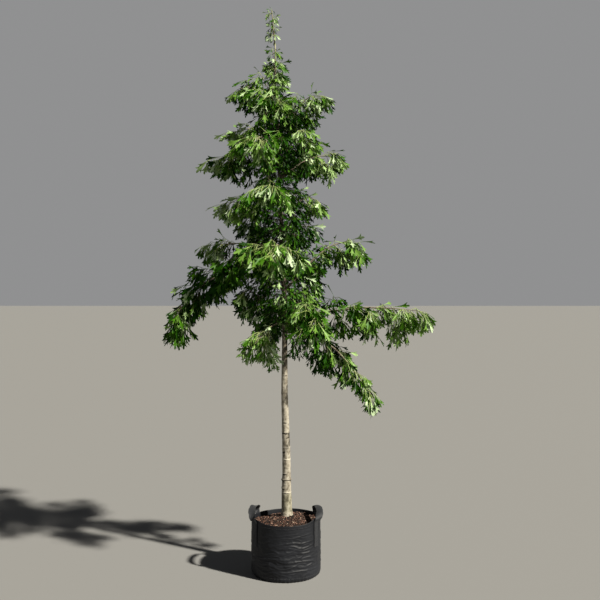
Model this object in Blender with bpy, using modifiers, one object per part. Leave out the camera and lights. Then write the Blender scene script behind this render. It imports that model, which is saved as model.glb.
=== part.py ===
"""Young oak standing in a fabric planting bag with two strap handles.

Metres, +Z up, +X to the tree's right. The origin is the centre of the bag's flat underside.
The trunk is one tapering piece from the soil to the tip of the leader. Boughs leave it at
named heights, and each carries one mass of leafy twigs that grows by a seeded rule.
"""

import math
import random
from collections import namedtuple

import bmesh
import bpy
from mathutils import Matrix, Vector
from mathutils.bvhtree import BVHTree

# ---------------------------------------------------------------- driving dimensions
GAP = 0.0003                 # clearance between pieces that touch
UP = Vector((0.0, 0.0, 1.0))

BAG_RADIUS = 0.1925          # outside, at mid height
BAG_HEIGHT = 0.305
BAG_WALL = 0.0035
BAG_FOOT_RADIUS = 0.176      # flat underside
BAG_CORNER = 0.022           # height of the rounded bottom edge
BAG_STEPS = 26
RIM_SAG = 0.0035             # how far the rim dips,
RIM_SAG_SIDE = math.radians(125)   # most at the back left
RIM_SLOPE = 0.0015           # the rim's inner edge is this much lower than its outer edge

WALL_HEIGHTS = (0.235, 0.155, 0.075)
MID_SWELL = 0.002            # how much fuller the bag is at mid height
LOBE_SWELL = 0.008           # share by which the soft wall leaves a true circle

SOIL_EDGE = 0.283            # soil height at the wall
SOIL_CROWN = 0.2997          # soil height round the stem
SOIL_CROWN_RADIUS = 0.052
SOIL_SLOPE = ((0.105, 0.2935), (0.155, 0.286))   # radius and height between crown and wall
SOIL_CLEAR = 0.0015          # between the soil and the wall round it
CROWN_SHIFT = 0.6            # how far the crown follows the stem, which stands off centre

STRAP_WIDTH = 0.038
STRAP_THICK = 0.0045
STRAP_OFF = 0.0001           # clears the wall where the bag is fullest
STRAP_FRONT_LEG = math.radians(-31)   # where the two legs are sewn, from the X axis
STRAP_BACK_LEG = math.radians(33)
STRAP_FOOT = 0.172           # lower end of a sewn leg
STRAP_LEG_TOP = 0.301        # where a leg leaves the wall
# Centre of the free loop from the front leg to the back leg, and how far it has turned there
# from lying on the wall to lying flat.
STRAP_LOOP = (
    ((0.1765, -0.1010, 0.3200), 0.35),
    ((0.1830, -0.0850, 0.3390), 0.70),
    ((0.1860, -0.0520, 0.3535), 1.00),
    ((0.1810, 0.0040, 0.3600), 1.00),
    ((0.1720, 0.0550, 0.3545), 1.00),
    ((0.1655, 0.0880, 0.3385), 0.78),
    ((0.1660, 0.1040, 0.3205), 0.42),
)

TRUNK_BASE = 0.3000
TRUNK_SIDES = 12

LIMB_PULL = 0.38             # how far a limb keeps its first and last slope, as a share
LIMB_TAPER = 0.8
SQUARE_END = 0.006           # straight stretch at the end of a bough and the start of a stem
STEM_RADIUS = 0.0042
STEM_STEPS = 4
STEM_END = 0.985             # share of the limb where the stem ends

# The rule for twigs: each turns by the golden angle from the last, and is longest near mid way.
GOLDEN_ANGLE = math.radians(137.5)
TWIG_RADIUS = 0.0024
TWIG_TIP_RADIUS = 0.0014
TWIG_FIRST = 0.7             # place of the first twig, in steps
TWIG_FORWARD = 0.45          # how far a twig leans along its limb,
TWIG_FORWARD_GAIN = 0.9      # and how much more it does so
TWIG_FORWARD_FROM = 0.6      # beyond this share of the leafy part
TWIG_ACROSS = 0.9
TWIG_FLATNESS = 0.5          # spread above and below the limb, as a share of that to the sides
TWIG_DROOP = 0.30
TWIG_SHORTEST = 0.62         # share of the reach at the ends of the leafy part
TWIG_PEAK = 0.85
TIP_SLIM = 0.40              # how much shorter the last twigs are for that, towards the tip
TWIG_LENGTHS = (0.82, 1.08)

LEAVES_ON_TWIG = 5
LEAF_LENGTH = 0.136
LEAF_WIDTH = 0.060
LEAF_WIDEST = 0.68           # share of the length
LEAF_RIDGE = 0.0036          # height of the midrib over the edges, near the root
LEAF_RIDGE_AT = 0.22         # share of the length
LEAF_SUNK = 0.0010           # how far the root passes the middle of its twig
LEAF_FIRST = 0.35            # where the first and the last leaf sit on their twig
LEAF_LAST = 0.96
LEAF_FORWARD = 0.7
LEAF_ACROSS = 0.6
LEAF_HANGS = (0.5, 1.1)
LEAF_FACE_UP = 0.6
LEAF_SIZES = (0.86, 1.12)
LEAF_TRIES = 4               # drawn again this often where it would touch something,
LEAF_TRY_TURN = 0.8          # turned this far each time
CLEARANCE = 1.04             # a leaf is tested this many times larger than it is,
LEAF_CLEAR = 0.001           # and this much thicker on each side

# Height, x, y and radius of the trunk, from the flared foot to the tip of the leader.
TRUNK_LINE = (
    (TRUNK_BASE, 0.004, 0.055, 0.0345),
    (0.325, 0.004, 0.055, 0.0300),
    (0.420, 0.002, 0.053, 0.0275),
    (0.540, 0.002, 0.051, 0.0236),
    (0.650, 0.001, 0.049, 0.0225),
    (0.830, -0.004, 0.046, 0.0205),
    (0.990, -0.009, 0.042, 0.0183),
    (1.260, -0.008, 0.037, 0.0152),
    (1.430, -0.006, 0.034, 0.0142),
    (1.800, -0.020, 0.027, 0.0118),
    (2.200, -0.037, 0.020, 0.0085),
    (2.710, -0.059, 0.010, 0.0045),
    (2.920, -0.060, 0.006, 0.0035),
    (3.000, -0.069, 0.004, 0.0029),
    (3.070, -0.075, 0.003, 0.0024),
    (3.118, -0.078, 0.002, 0.0020),
)

# One row for each limb: where it leaves the trunk, where its stem ends, the slopes in degrees
# at which it leaves and arrives, its radius at the trunk, the share that is bare bough (0 for a
# stem straight from the trunk), the reach of its twigs, and the number of twigs.
# The last number is the size of its leaves as a share of the full size.
Limb = namedtuple("Limb", "name height tip rise fall radius bare spread twigs leaf")
LIMBS = (
    Limb("leader", 2.95, (-0.080, -0.010, 3.112), 82, -80, 0.0032, 0.0, 0.035, 4, 0.40),
    Limb("crown_high", 2.72, (-0.072, -0.040, 2.885), 78, -75, 0.0040, 0.0, 0.040, 3, 0.50),
    Limb("crown_low", 2.58, (-0.135, -0.050, 2.745), 65, -55, 0.0040, 0.0, 0.06, 3, 0.70),
    Limb("top_left", 2.56, (-0.252, -0.060, 2.668), 50, 20, 0.0055, 0.30, 0.09, 4, 0.85),
    Limb("top_right", 2.32, (0.193, 0.010, 2.645), 55, 10, 0.0065, 0.42, 0.10, 5, 0.85),
    Limb("top_front", 2.50, (-0.080, -0.220, 2.590), 45, 20, 0.0055, 0.0, 0.13, 5, 1.0),
    Limb("top_back", 2.46, (0.030, 0.250, 2.590), 45, 20, 0.0055, 0.30, 0.13, 4, 1.0),
    Limb("upper_left_high", 2.40, (-0.250, -0.080, 2.430), 35, 30, 0.0060, 0.28, 0.12, 4, 0.9),
    Limb("upper_left", 2.24, (-0.355, 0.080, 2.312), 32, 26, 0.0070, 0.30, 0.13, 5, 1.0),
    Limb("upper_right_high", 2.27, (0.110, -0.090, 2.430), 40, 15, 0.0050, 0.0, 0.12, 4, 1.0),
    Limb("upper_right", 2.18, (0.272, 0.080, 2.312), 40, 18, 0.0070, 0.32, 0.10, 5, 0.88),
    Limb("upper_front", 2.26, (-0.150, -0.310, 2.340), 40, 30, 0.0065, 0.25, 0.14, 4, 1.0),
    Limb("upper_back", 2.27, (0.120, 0.330, 2.365), 40, 20, 0.0065, 0.30, 0.13, 5, 1.0),
    Limb("waist_left", 1.98, (-0.296, -0.080, 2.040), 35, 35, 0.0070, 0.28, 0.10, 5, 1.0),
    Limb("waist_right", 1.97, (0.165, 0.030, 2.070), 40, 30, 0.0050, 0.0, 0.10, 4, 1.0),
    Limb("waist_front", 2.03, (-0.080, -0.320, 2.100), 38, 25, 0.0065, 0.25, 0.14, 4, 1.0),
    Limb("waist_back", 1.89, (-0.190, 0.310, 1.960), 35, 25, 0.0070, 0.30, 0.14, 4, 1.0),
    Limb("mid_left_high", 1.78, (-0.462, 0.130, 1.822), 24, 2, 0.0070, 0.22, 0.085, 5, 0.90),
    Limb("mid_left_near", 1.765, (-0.300, -0.130, 1.712), 15, 32, 0.0080, 0.25, 0.16, 5, 1.0),
    Limb("mid_left_far", 1.66, (-0.602, -0.040, 1.372), 20, 80, 0.0095, 0.36, 0.13, 8, 1.0),
    Limb("mid_right_high", 1.84, (0.100, -0.060, 1.910), 35, 20, 0.0050, 0.0, 0.11, 3, 1.0),
    Limb("mid_right", 1.56, (0.415, 0.080, 1.802), 46, 38, 0.0085, 0.40, 0.080, 6, 0.92),
    Limb("mid_front", 1.74, (-0.060, -0.380, 1.740), 30, 35, 0.0080, 0.25, 0.16, 5, 1.0),
    Limb("mid_back", 1.66, (0.125, 0.390, 1.725), 30, 20, 0.0080, 0.30, 0.16, 4, 1.0),
    Limb("inner_left", 1.57, (-0.235, 0.020, 1.555), 18, 35, 0.0050, 0.0, 0.11, 4, 1.0),
    Limb("inner_right", 1.50, (0.140, 0.050, 1.580), 35, 10, 0.0050, 0.0, 0.09, 3, 0.9),
    Limb("low_right_far", 1.38, (0.752, -0.060, 1.446), 18, 8, 0.0100, 0.30, 0.122, 9, 0.90),
    Limb("low_right_near", 1.355, (0.240, 0.055, 1.246), 5, 35, 0.0075, 0.25, 0.14, 4, 1.0),
    Limb("low_right_drop", 1.33, (0.466, -0.130, 0.992), 8, 56, 0.0090, 0.34, 0.078, 6, 0.85),
    Limb("low_left", 1.38, (-0.162, -0.140, 1.275), 5, 42, 0.0065, 0.30, 0.12, 4, 0.92),
    Limb("low_front", 1.46, (0.165, -0.330, 1.410), 20, 35, 0.0070, 0.28, 0.15, 4, 1.0),
    Limb("low_back", 1.44, (-0.100, 0.390, 1.410), 20, 35, 0.0075, 0.28, 0.16, 5, 1.0),
)
BARE_STRETCH = {"low_right_far": (0.62, 0.74)}   # share of the leafy part with no twigs
# Twigs outside the rule: share of the leafy part, direction, and length.
OWN_TWIGS = {
    "top_right": ((0.04, (0.10, -0.20, 0.96), 0.095),),
    "mid_left_far": ((0.12, (-0.96, -0.15, 0.20), 0.150),),
    "inner_left": ((0.80, (-0.35, 0.05, -0.93), 0.110),),
    "low_right_far": (
        (0.03, (0.25, 0.10, 0.96), 0.100), (0.44, (0.25, 0.0, -0.97), 0.100),
        (0.72, (0.10, 0.0, -0.99), 0.120),
    ),
    "low_right_near": ((0.04, (-0.15, -0.35, -0.92), 0.110), (0.80, (0.35, -0.10, -0.93), 0.120)),
    "low_left": ((0.32, (0.05, -0.10, -0.99), 0.160),),
}


# ---------------------------------------------------------------- scene and objects
def clear_scene():
    for obj in list(bpy.data.objects):
        bpy.data.objects.remove(obj, do_unlink=True)


def new_collection(name, hidden=False):
    collection = bpy.data.collections.new(name)
    collection.hide_render = hidden
    bpy.context.scene.collection.children.link(collection)
    return collection


def material(name, colour, roughness, sheen=0.0):
    made = bpy.data.materials.new(name)
    made.use_nodes = True
    shader = made.node_tree.nodes["Principled BSDF"]
    shader.inputs["Base Color"].default_value = (*colour, 1.0)
    shader.inputs["Roughness"].default_value = roughness
    shader.inputs["Metallic"].default_value = 0.0
    shader.inputs["Sheen Weight"].default_value = sheen
    return made


def add_object(name, mesh, collection, finish=None):
    obj = bpy.data.objects.new(name, mesh)
    collection.objects.link(obj)
    if finish:
        mesh.materials.clear()
        mesh.materials.append(finish)
    return obj


def mesh_from(name, build):
    """A mesh whose geometry the function build adds to an empty bmesh."""
    bm = bmesh.new()
    build(bm)
    bmesh.ops.recalc_face_normals(bm, faces=bm.faces)
    mesh = bpy.data.meshes.new(name)
    bm.to_mesh(mesh)
    bm.free()
    return mesh


def baked_mesh(obj, name):
    """The object's evaluated shape as a new welded mesh, with the object removed."""
    bpy.context.view_layer.update()
    graph = bpy.context.evaluated_depsgraph_get()
    mesh = bpy.data.meshes.new_from_object(obj.evaluated_get(graph))
    mesh.name = name
    bm = bmesh.new()
    bm.from_mesh(mesh)
    bmesh.ops.remove_doubles(bm, verts=bm.verts, dist=1e-6)
    bmesh.ops.recalc_face_normals(bm, faces=bm.faces)
    bm.to_mesh(mesh)
    bm.free()
    bpy.data.objects.remove(obj, do_unlink=True)
    return mesh


def smooth(mesh, angle=40):
    mesh.shade_smooth()
    mesh.set_sharp_from_angle(angle=math.radians(angle))


# ---------------------------------------------------------------- bag, soil and handles
def bag_radius(height):
    """Outside radius of the bag: rounded below, a little fuller at mid height."""
    plain = BAG_RADIUS - MID_SWELL
    if height < BAG_CORNER:
        part = 1.0 - height / BAG_CORNER
        turn = 1.0 - math.sqrt(1.0 - part * part)
        return plain - (plain - BAG_FOOT_RADIUS) * turn
    return plain + MID_SWELL * math.sin(math.pi * height / BAG_HEIGHT)


def bag_shape(point):
    """A point of the turned bag or soil moved to the soft bag's real outline."""
    angle = math.atan2(point.y, point.x)
    low = max(0.0, min(1.0, point.z / BAG_HEIGHT))
    lobes = low * math.sin(3 * angle + 0.6) * math.sin(math.pi * low * 0.9)
    swell = 1.0 + LOBE_SWELL * lobes
    dip = RIM_SAG * max(0.0, math.cos(angle - RIM_SAG_SIDE)) * low ** 4
    return Vector((point.x * swell, point.y * swell, point.z - dip))


def turned(name, profile, collection):
    """A solid turned about Z from (radius, height) points that run down its outer side."""
    mesh = bpy.data.meshes.new(name)
    points = [(radius, 0.0, height) for radius, height in profile]
    mesh.from_pydata(points, [(i, i + 1) for i in range(len(points) - 1)], [])
    obj = add_object(name + "_profile", mesh, collection)
    screw = obj.modifiers.new("turn", "SCREW")
    screw.steps = BAG_STEPS
    screw.render_steps = BAG_STEPS
    screw.use_merge_vertices = True
    screw.merge_threshold = 0.0001
    made = baked_mesh(obj, name)
    for vertex in made.vertices:
        vertex.co = bag_shape(vertex.co)
    return made


def make_bag(collection, finish):
    corner_heights = (BAG_CORNER, BAG_CORNER * 0.45, BAG_CORNER * 0.12)
    outer = [(bag_radius(BAG_HEIGHT), BAG_HEIGHT)]
    outer += [(bag_radius(height), height) for height in WALL_HEIGHTS + corner_heights]
    outer += [(BAG_FOOT_RADIUS, 0.0), (0.0, 0.0)]
    inner = [(0.0, BAG_WALL), (BAG_FOOT_RADIUS - BAG_WALL, BAG_WALL)]
    inner += [(bag_radius(z) - BAG_WALL, z) for z in (BAG_CORNER, *reversed(WALL_HEIGHTS[:2]))]
    inner += [(bag_radius(BAG_HEIGHT) - BAG_WALL, BAG_HEIGHT - RIM_SLOPE)]
    mesh = turned("bag", outer + inner + outer[:1], collection)
    smooth(mesh)
    return add_object("bag", mesh, collection, finish)


def make_root_ball(collection, finish):
    clear = BAG_WALL + SOIL_CLEAR
    under = BAG_WALL + GAP
    profile = [(0.0, SOIL_CROWN), (SOIL_CROWN_RADIUS, SOIL_CROWN), *SOIL_SLOPE]
    profile += [(bag_radius(SOIL_EDGE) - clear, SOIL_EDGE)]
    profile += [(bag_radius(z) - clear, z) for z in (*WALL_HEIGHTS[:2], BAG_CORNER + 0.002)]
    profile += [(BAG_FOOT_RADIUS - clear - 0.001, under), (0.0, under)]
    mesh = turned("root_ball", profile, collection)
    for vertex in mesh.vertices:
        reach = math.hypot(vertex.co.x, vertex.co.y)
        if reach < SOIL_CROWN_RADIUS * 1.2 and vertex.co.z > SOIL_EDGE / 2:
            vertex.co.z = SOIL_CROWN
            vertex.co.y += TRUNK_LINE[0][2] * CROWN_SHIFT
    smooth(mesh)
    return add_object("root_ball", mesh, collection, finish)


def strap_leg(angle, turned):
    """Centres of a leg from its foot up, flat on the wall, with the width direction along it."""
    outward = Vector((math.cos(angle), math.sin(angle), 0.0))
    along_wall = Vector((-math.sin(angle), math.cos(angle), 0.0)) * turned
    out = BAG_RADIUS + STRAP_OFF + STRAP_THICK / 2
    heights = (STRAP_FOOT, (STRAP_FOOT + STRAP_LEG_TOP) / 2, STRAP_LEG_TOP)
    return [(outward * out + UP * height, along_wall) for height in heights]


def strap_stations():
    """Centre and width direction of the right-hand strap, from the front foot to the back foot.

    The legs are flat on the wall; above the rim the strap turns until it lies flat at the top.
    """
    front = strap_leg(STRAP_FRONT_LEG, 1)
    back = strap_leg(STRAP_BACK_LEG, -1)
    outward = Vector((1.0, 0.0, 0.0))
    loop = []
    for i, (centre, turn) in enumerate(STRAP_LOOP):
        near = front if i < len(STRAP_LOOP) / 2 else back
        loop.append((Vector(centre), near[0][1].lerp(outward, turn).normalized()))
    return front + loop + back[::-1]


def make_handle(name, side, collection, finish):
    """One strap loop: a flat section lofted along the stations, side 1 right and -1 left."""
    stations = strap_stations()
    half_width = STRAP_WIDTH / 2
    half_thick = STRAP_THICK / 2

    def build(bm):
        rings = []
        for i, (centre, width) in enumerate(stations):
            before = stations[max(i - 1, 0)][0]
            after = stations[min(i + 1, len(stations) - 1)][0]
            along = (after - before).normalized()
            across = (width - along * width.dot(along)).normalized()
            thick = along.cross(across)
            corners = ((1, 1), (-1, 1), (-1, -1), (1, -1))
            ring = []
            for a, b in corners:
                point = centre + across * half_width * a + thick * half_thick * b
                ring.append(bm.verts.new((point.x * side, point.y, point.z)))
            rings.append(ring)
        for lower, upper in zip(rings, rings[1:]):
            for k in range(4):
                bm.faces.new((lower[k], lower[(k + 1) % 4], upper[(k + 1) % 4], upper[k]))
        bm.faces.new(rings[0])
        bm.faces.new(rings[-1])

    mesh = mesh_from(name, build)
    smooth(mesh, 35)
    return add_object(name, mesh, collection, finish)


# ---------------------------------------------------------------- limbs
def trunk_at(height):
    """(centre, radius) of the trunk at a height."""
    for (z0, x0, y0, r0), (z1, x1, y1, r1) in zip(TRUNK_LINE, TRUNK_LINE[1:]):
        if height <= z1:
            share = (height - z0) / (z1 - z0)
            centre = Vector((x0, y0, z0)).lerp(Vector((x1, y1, z1)), share)
            return centre, r0 + (r1 - r0) * share
    return Vector((TRUNK_LINE[-1][1], TRUNK_LINE[-1][2], height)), TRUNK_LINE[-1][3]


def limb_curve(limb):
    """The limb's centre line as a function of the share of its way from trunk to tip."""
    start = trunk_at(limb.height)[0]
    tip = Vector(limb.tip)
    level = Vector((tip.x - start.x, tip.y - start.y, 0.0)).normalized()
    pull = (tip - start).length * LIMB_PULL
    rise = math.radians(limb.rise)
    fall = math.radians(limb.fall)
    first = start + (level * math.cos(rise) + UP * math.sin(rise)) * pull
    second = tip - (level * math.cos(fall) - UP * math.sin(fall)) * pull

    def at(share):
        left = 1.0 - share
        return (start * left ** 3 + first * 3 * left * left * share
                + second * 3 * left * share * share + tip * share ** 3)

    return at


def limb_radius(limb, share):
    """Radius of a limb at a share of its way: it tapers from the trunk to its tip."""
    return limb.radius + (TWIG_TIP_RADIUS - limb.radius) * share ** LIMB_TAPER


def tube(name, points, radii, collection, profile=None, sides=6):
    """A welded tube along the points; profile is a bevel object for a section that isn't round."""
    curve = bpy.data.curves.new(name, "CURVE")
    curve.dimensions = "3D"
    curve.use_fill_caps = True
    if profile:
        curve.bevel_mode = "OBJECT"
        curve.bevel_object = profile
    else:
        curve.bevel_depth = 1.0
        curve.bevel_resolution = (sides - 4) // 2
    spline = curve.splines.new("POLY")
    spline.points.add(len(points) - 1)
    for spot, point, radius in zip(spline.points, points, radii):
        spot.co = (*point, 1.0)
        spot.radius = radius
    obj = bpy.data.objects.new(name, curve)
    collection.objects.link(obj)
    mesh = baked_mesh(obj, name)
    bpy.data.curves.remove(curve)
    return mesh


def three_sided_profile(collection):
    curve = bpy.data.curves.new("three_sided", "CURVE")
    spline = curve.splines.new("POLY")
    spline.points.add(2)
    spline.use_cyclic_u = True
    for i, spot in enumerate(spline.points):
        angle = 2 * math.pi * i / 3
        spot.co = (math.cos(angle), math.sin(angle), 0.0, 1.0)
    profile = bpy.data.objects.new("three_sided", curve)
    profile.hide_render = True
    collection.objects.link(profile)
    return profile


def make_trunk(collection, finish, grow=0.0, name="trunk"):
    points = [Vector((x, y, z)) for z, x, y, _ in TRUNK_LINE]
    radii = [radius + grow for *_, radius in TRUNK_LINE]
    if grow:
        points[0].z -= 0.01
        points[-1].z += grow
    mesh = tube(name, points, radii, collection, sides=TRUNK_SIDES)
    smooth(mesh)
    return add_object(name, mesh, collection, finish)


def subtract(obj, cutter):
    """Applies a Boolean difference to the object."""
    cut = obj.modifiers.new("clear_of_trunk", "BOOLEAN")
    cut.operation = "DIFFERENCE"
    cut.object = cutter
    finish = obj.data.materials[0]
    bpy.context.view_layer.update()
    graph = bpy.context.evaluated_depsgraph_get()
    mesh = bpy.data.meshes.new_from_object(obj.evaluated_get(graph))
    obj.modifiers.clear()
    obj.data = mesh
    mesh.materials.clear()
    mesh.materials.append(finish)


def bough_end(limb):
    """Where a bough ends, and the direction in which its stem goes on from there."""
    at = limb_curve(limb)
    end = at(limb.bare)
    return end, (at(limb.bare + 0.01) - end).normalized()


def make_bough(limb, collection, cutter, finish):
    """The bare part of a limb, from the trunk's side to a square end where its leaves begin."""
    at = limb_curve(limb)
    steps = max(3, int(limb.bare * 10))
    shares = [limb.bare * i / steps for i in range(steps + 1)]
    end, tangent = bough_end(limb)
    points = [at(share) for share in shares[:-1]] + [end - tangent * SQUARE_END, end]
    radii = [limb_radius(limb, share) for share in shares] + [limb_radius(limb, limb.bare)]
    mesh = tube("bough_" + limb.name, points, radii, collection)
    smooth(mesh)
    bough = add_object("bough_" + limb.name, mesh, collection, finish)
    subtract(bough, cutter)
    return bough


# ---------------------------------------------------------------- foliage
def frame_of(direction):
    """Two unit vectors across a direction: one level, one as near to up as it can be."""
    side = direction.cross(UP)
    if side.length < 0.05:
        side = direction.cross(Vector((0.0, 1.0, 0.0)))
    side.normalize()
    return side, side.cross(direction).normalized()


def leaf_points(length, width):
    """Corners of a wedge-shaped blade that lies along X with its ridge in Z."""
    return (
        Vector((-LEAF_SUNK, 0.0, 0.0)),
        Vector((length * LEAF_WIDEST, width / 2, 0.0)),
        Vector((length * LEAF_WIDEST, -width / 2, 0.0)),
        Vector((length * LEAF_RIDGE_AT, 0.0, LEAF_RIDGE)),
        Vector((length, 0.0, 0.0)),
    )


def leaf_mesh(placed):
    def build(bm):
        for point in placed:
            bm.verts.new(point)
        bmesh.ops.convex_hull(bm, input=bm.verts)
    return mesh_from("leaf", build)


def leaf_matrix(root, direction, facing):
    """Places a leaf with its root at a point, along a direction, its ridge towards facing."""
    ridge = facing - direction * facing.dot(direction)
    ridge.normalize()
    across = ridge.cross(direction)
    turn = Matrix((direction, across, ridge)).transposed().to_4x4()
    return Matrix.Translation(root) @ turn


Twig = namedtuple("Twig", "base heading length")


def plan_twigs(limb, rng):
    """The seeded rule: twigs turn by the golden angle up the stem, longest before mid way."""
    at = limb_curve(limb)

    def place(leafy):
        share = limb.bare + (1.0 - limb.bare) * min(leafy, STEM_END)
        return at(share), (at(min(share + 0.01, 1.0)) - at(share - 0.01)).normalized()

    gap = BARE_STRETCH.get(limb.name)
    twigs = []
    roll = rng.uniform(0.0, 2 * math.pi)
    for i in range(limb.twigs):
        leafy = (i + TWIG_FIRST) / limb.twigs
        if gap and gap[0] < leafy < gap[1]:
            leafy = gap[1] + 0.02
        base, heading = place(leafy)
        side, over = frame_of(heading)
        roll += GOLDEN_ANGLE
        across = side * math.cos(roll) + over * math.sin(roll) * TWIG_FLATNESS
        forward = TWIG_FORWARD + TWIG_FORWARD_GAIN * max(0.0, leafy - TWIG_FORWARD_FROM)
        droop = UP * TWIG_DROOP * limb.leaf
        direction = (heading * forward + across * TWIG_ACROSS - droop).normalized()
        swell = TWIG_SHORTEST + (1.0 - TWIG_SHORTEST) * math.sin(math.pi * leafy ** TWIG_PEAK)
        swell *= 1.0 - TIP_SLIM * max(0.0, leafy - TWIG_FORWARD_FROM) / (1.0 - TWIG_FORWARD_FROM)
        twigs.append(Twig(base, direction, limb.spread * swell * rng.uniform(*TWIG_LENGTHS)))
    for leafy, direction, length in OWN_TWIGS.get(limb.name, ()):
        twigs.append(Twig(place(leafy)[0], Vector(direction).normalized(), length))
    return twigs


def leaf_corners(twig, number, roll, leaf, rng):
    """Corners of one leaf of a twig: it spreads from the twig and hangs, facing any way round."""
    share = LEAF_FIRST + (LEAF_LAST - LEAF_FIRST) * number / (LEAVES_ON_TWIG - 1)
    root = twig.base + twig.heading * twig.length * share
    side, over = frame_of(twig.heading)
    across = side * math.cos(roll) + over * math.sin(roll) * LEAF_ACROSS
    hang = UP * rng.uniform(*LEAF_HANGS) * leaf * leaf
    direction = (twig.heading * LEAF_FORWARD + across * LEAF_ACROSS - hang).normalized()
    yaw = rng.uniform(0.0, 2 * math.pi)
    facing = Vector((math.cos(yaw), math.sin(yaw), LEAF_FACE_UP))
    size = rng.uniform(*LEAF_SIZES) * leaf
    place = leaf_matrix(root, direction, facing)
    return [place @ point for point in leaf_points(LEAF_LENGTH * size, LEAF_WIDTH * size)]


def tree_of(mesh, matrix=None):
    bm = bmesh.new()
    bm.from_mesh(mesh)
    if matrix:
        bm.transform(matrix)
    tree = BVHTree.FromBMesh(bm)
    bm.free()
    return tree


def is_clear(corners, taken):
    """Whether a leaf with these corners, made a little larger, misses all the trees."""
    middle = sum(corners, Vector()) / len(corners)
    grown = [middle + (corner - middle) * CLEARANCE for corner in corners]
    root, left, right, _, tip = grown
    side = (tip - root).cross(left - right).normalized() * LEAF_CLEAR
    grown += [corner + side * way for corner in (left, right, tip) for way in (1, -1)]
    mesh = leaf_mesh(grown)
    tree = tree_of(mesh)
    bpy.data.meshes.remove(mesh)
    return not any(tree.overlap(other) for other in taken)


def keep_main_body(mesh):
    """Drops loose scraps and the inner skins of sealed hollows: all but the largest body."""
    bm = bmesh.new()
    bm.from_mesh(mesh)
    bmesh.ops.triangulate(bm, faces=bm.faces)
    seen = set()
    bodies = []
    for start in bm.verts:
        if start.index in seen:
            continue
        body = [start]
        seen.add(start.index)
        for vertex in body:
            for edge in vertex.link_edges:
                other = edge.other_vert(vertex)
                if other.index not in seen:
                    seen.add(other.index)
                    body.append(other)
        bodies.append(body)
    bodies.sort(key=len)
    for body in bodies[:-1]:
        bmesh.ops.delete(bm, geom=body, context="VERTS")
    bm.to_mesh(mesh)
    bm.free()


def is_closed(mesh):
    bm = bmesh.new()
    bm.from_mesh(mesh)
    closed = all(edge.is_manifold and edge.is_contiguous for edge in bm.edges)
    bm.free()
    return closed


def joined(stem, pieces):
    """The union of a stem and a collection of twigs and leaves, by the solver that closes it."""
    join = stem.modifiers.new("join", "BOOLEAN")
    join.operation = "UNION"
    join.operand_type = "COLLECTION"
    join.collection = pieces
    for solver in ("EXACT", "MANIFOLD"):
        join.solver = solver
        bpy.context.view_layer.update()
        graph = bpy.context.evaluated_depsgraph_get()
        mesh = bpy.data.meshes.new_from_object(stem.evaluated_get(graph))
        keep_main_body(mesh)
        if is_closed(mesh):
            break
    stem.modifiers.clear()
    return mesh


def make_stem(limb, collection, profile, finish):
    """The stem of a mass: it carries on from the bough's tip, or starts inside the trunk."""
    at = limb_curve(limb)
    end, tangent = bough_end(limb)
    base = end + tangent * GAP if limb.bare else end
    points = [base, base + tangent * SQUARE_END]
    radii = [min(STEM_RADIUS, limb_radius(limb, limb.bare))] * 2
    for i in range(1, STEM_STEPS + 1):
        points.append(at(limb.bare + (STEM_END - limb.bare) * i / STEM_STEPS))
        radii.append(radii[0] + (TWIG_TIP_RADIUS - radii[0]) * i / STEM_STEPS)
    name = "foliage_" + limb.name
    return add_object(name, tube(name, points, radii, collection, profile), collection, finish)


def grow_foliage(limb, stem, profile, cutter, taken, finish):
    """Twigs and leaves fused on a stem. One that would touch another piece is left out."""
    rng = random.Random(limb.name)
    pieces = new_collection(stem.name + "_pieces", hidden=True)
    own = [tree_of(stem.data)]
    for twig in plan_twigs(limb, rng):
        spots = (twig.base, twig.base + twig.heading * twig.length)
        mesh = tube("twig", spots, (TWIG_RADIUS, TWIG_TIP_RADIUS), pieces, profile)
        tree = tree_of(mesh)
        if any(tree.overlap(other) for other in taken):
            continue
        add_object("twig", mesh, pieces)
        roll = rng.uniform(0.0, 2 * math.pi)
        for number in range(LEAVES_ON_TWIG):
            roll += GOLDEN_ANGLE
            for attempt in range(LEAF_TRIES):
                corners = leaf_corners(twig, number, roll + attempt * LEAF_TRY_TURN, limb.leaf, rng)
                if is_clear(corners, taken + own):
                    leaf = leaf_mesh(corners)
                    add_object("leaf", leaf, pieces)
                    own.append(tree_of(leaf))
                    break
        own.append(tree)
    stem.data = joined(stem, pieces)
    for piece in list(pieces.objects):
        bpy.data.objects.remove(piece, do_unlink=True)
    bpy.data.collections.remove(pieces)
    stem.data.materials.clear()
    stem.data.materials.append(finish)
    if not limb.bare:
        subtract(stem, cutter)
        keep_main_body(stem.data)
    stem.data.shade_flat()


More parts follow.
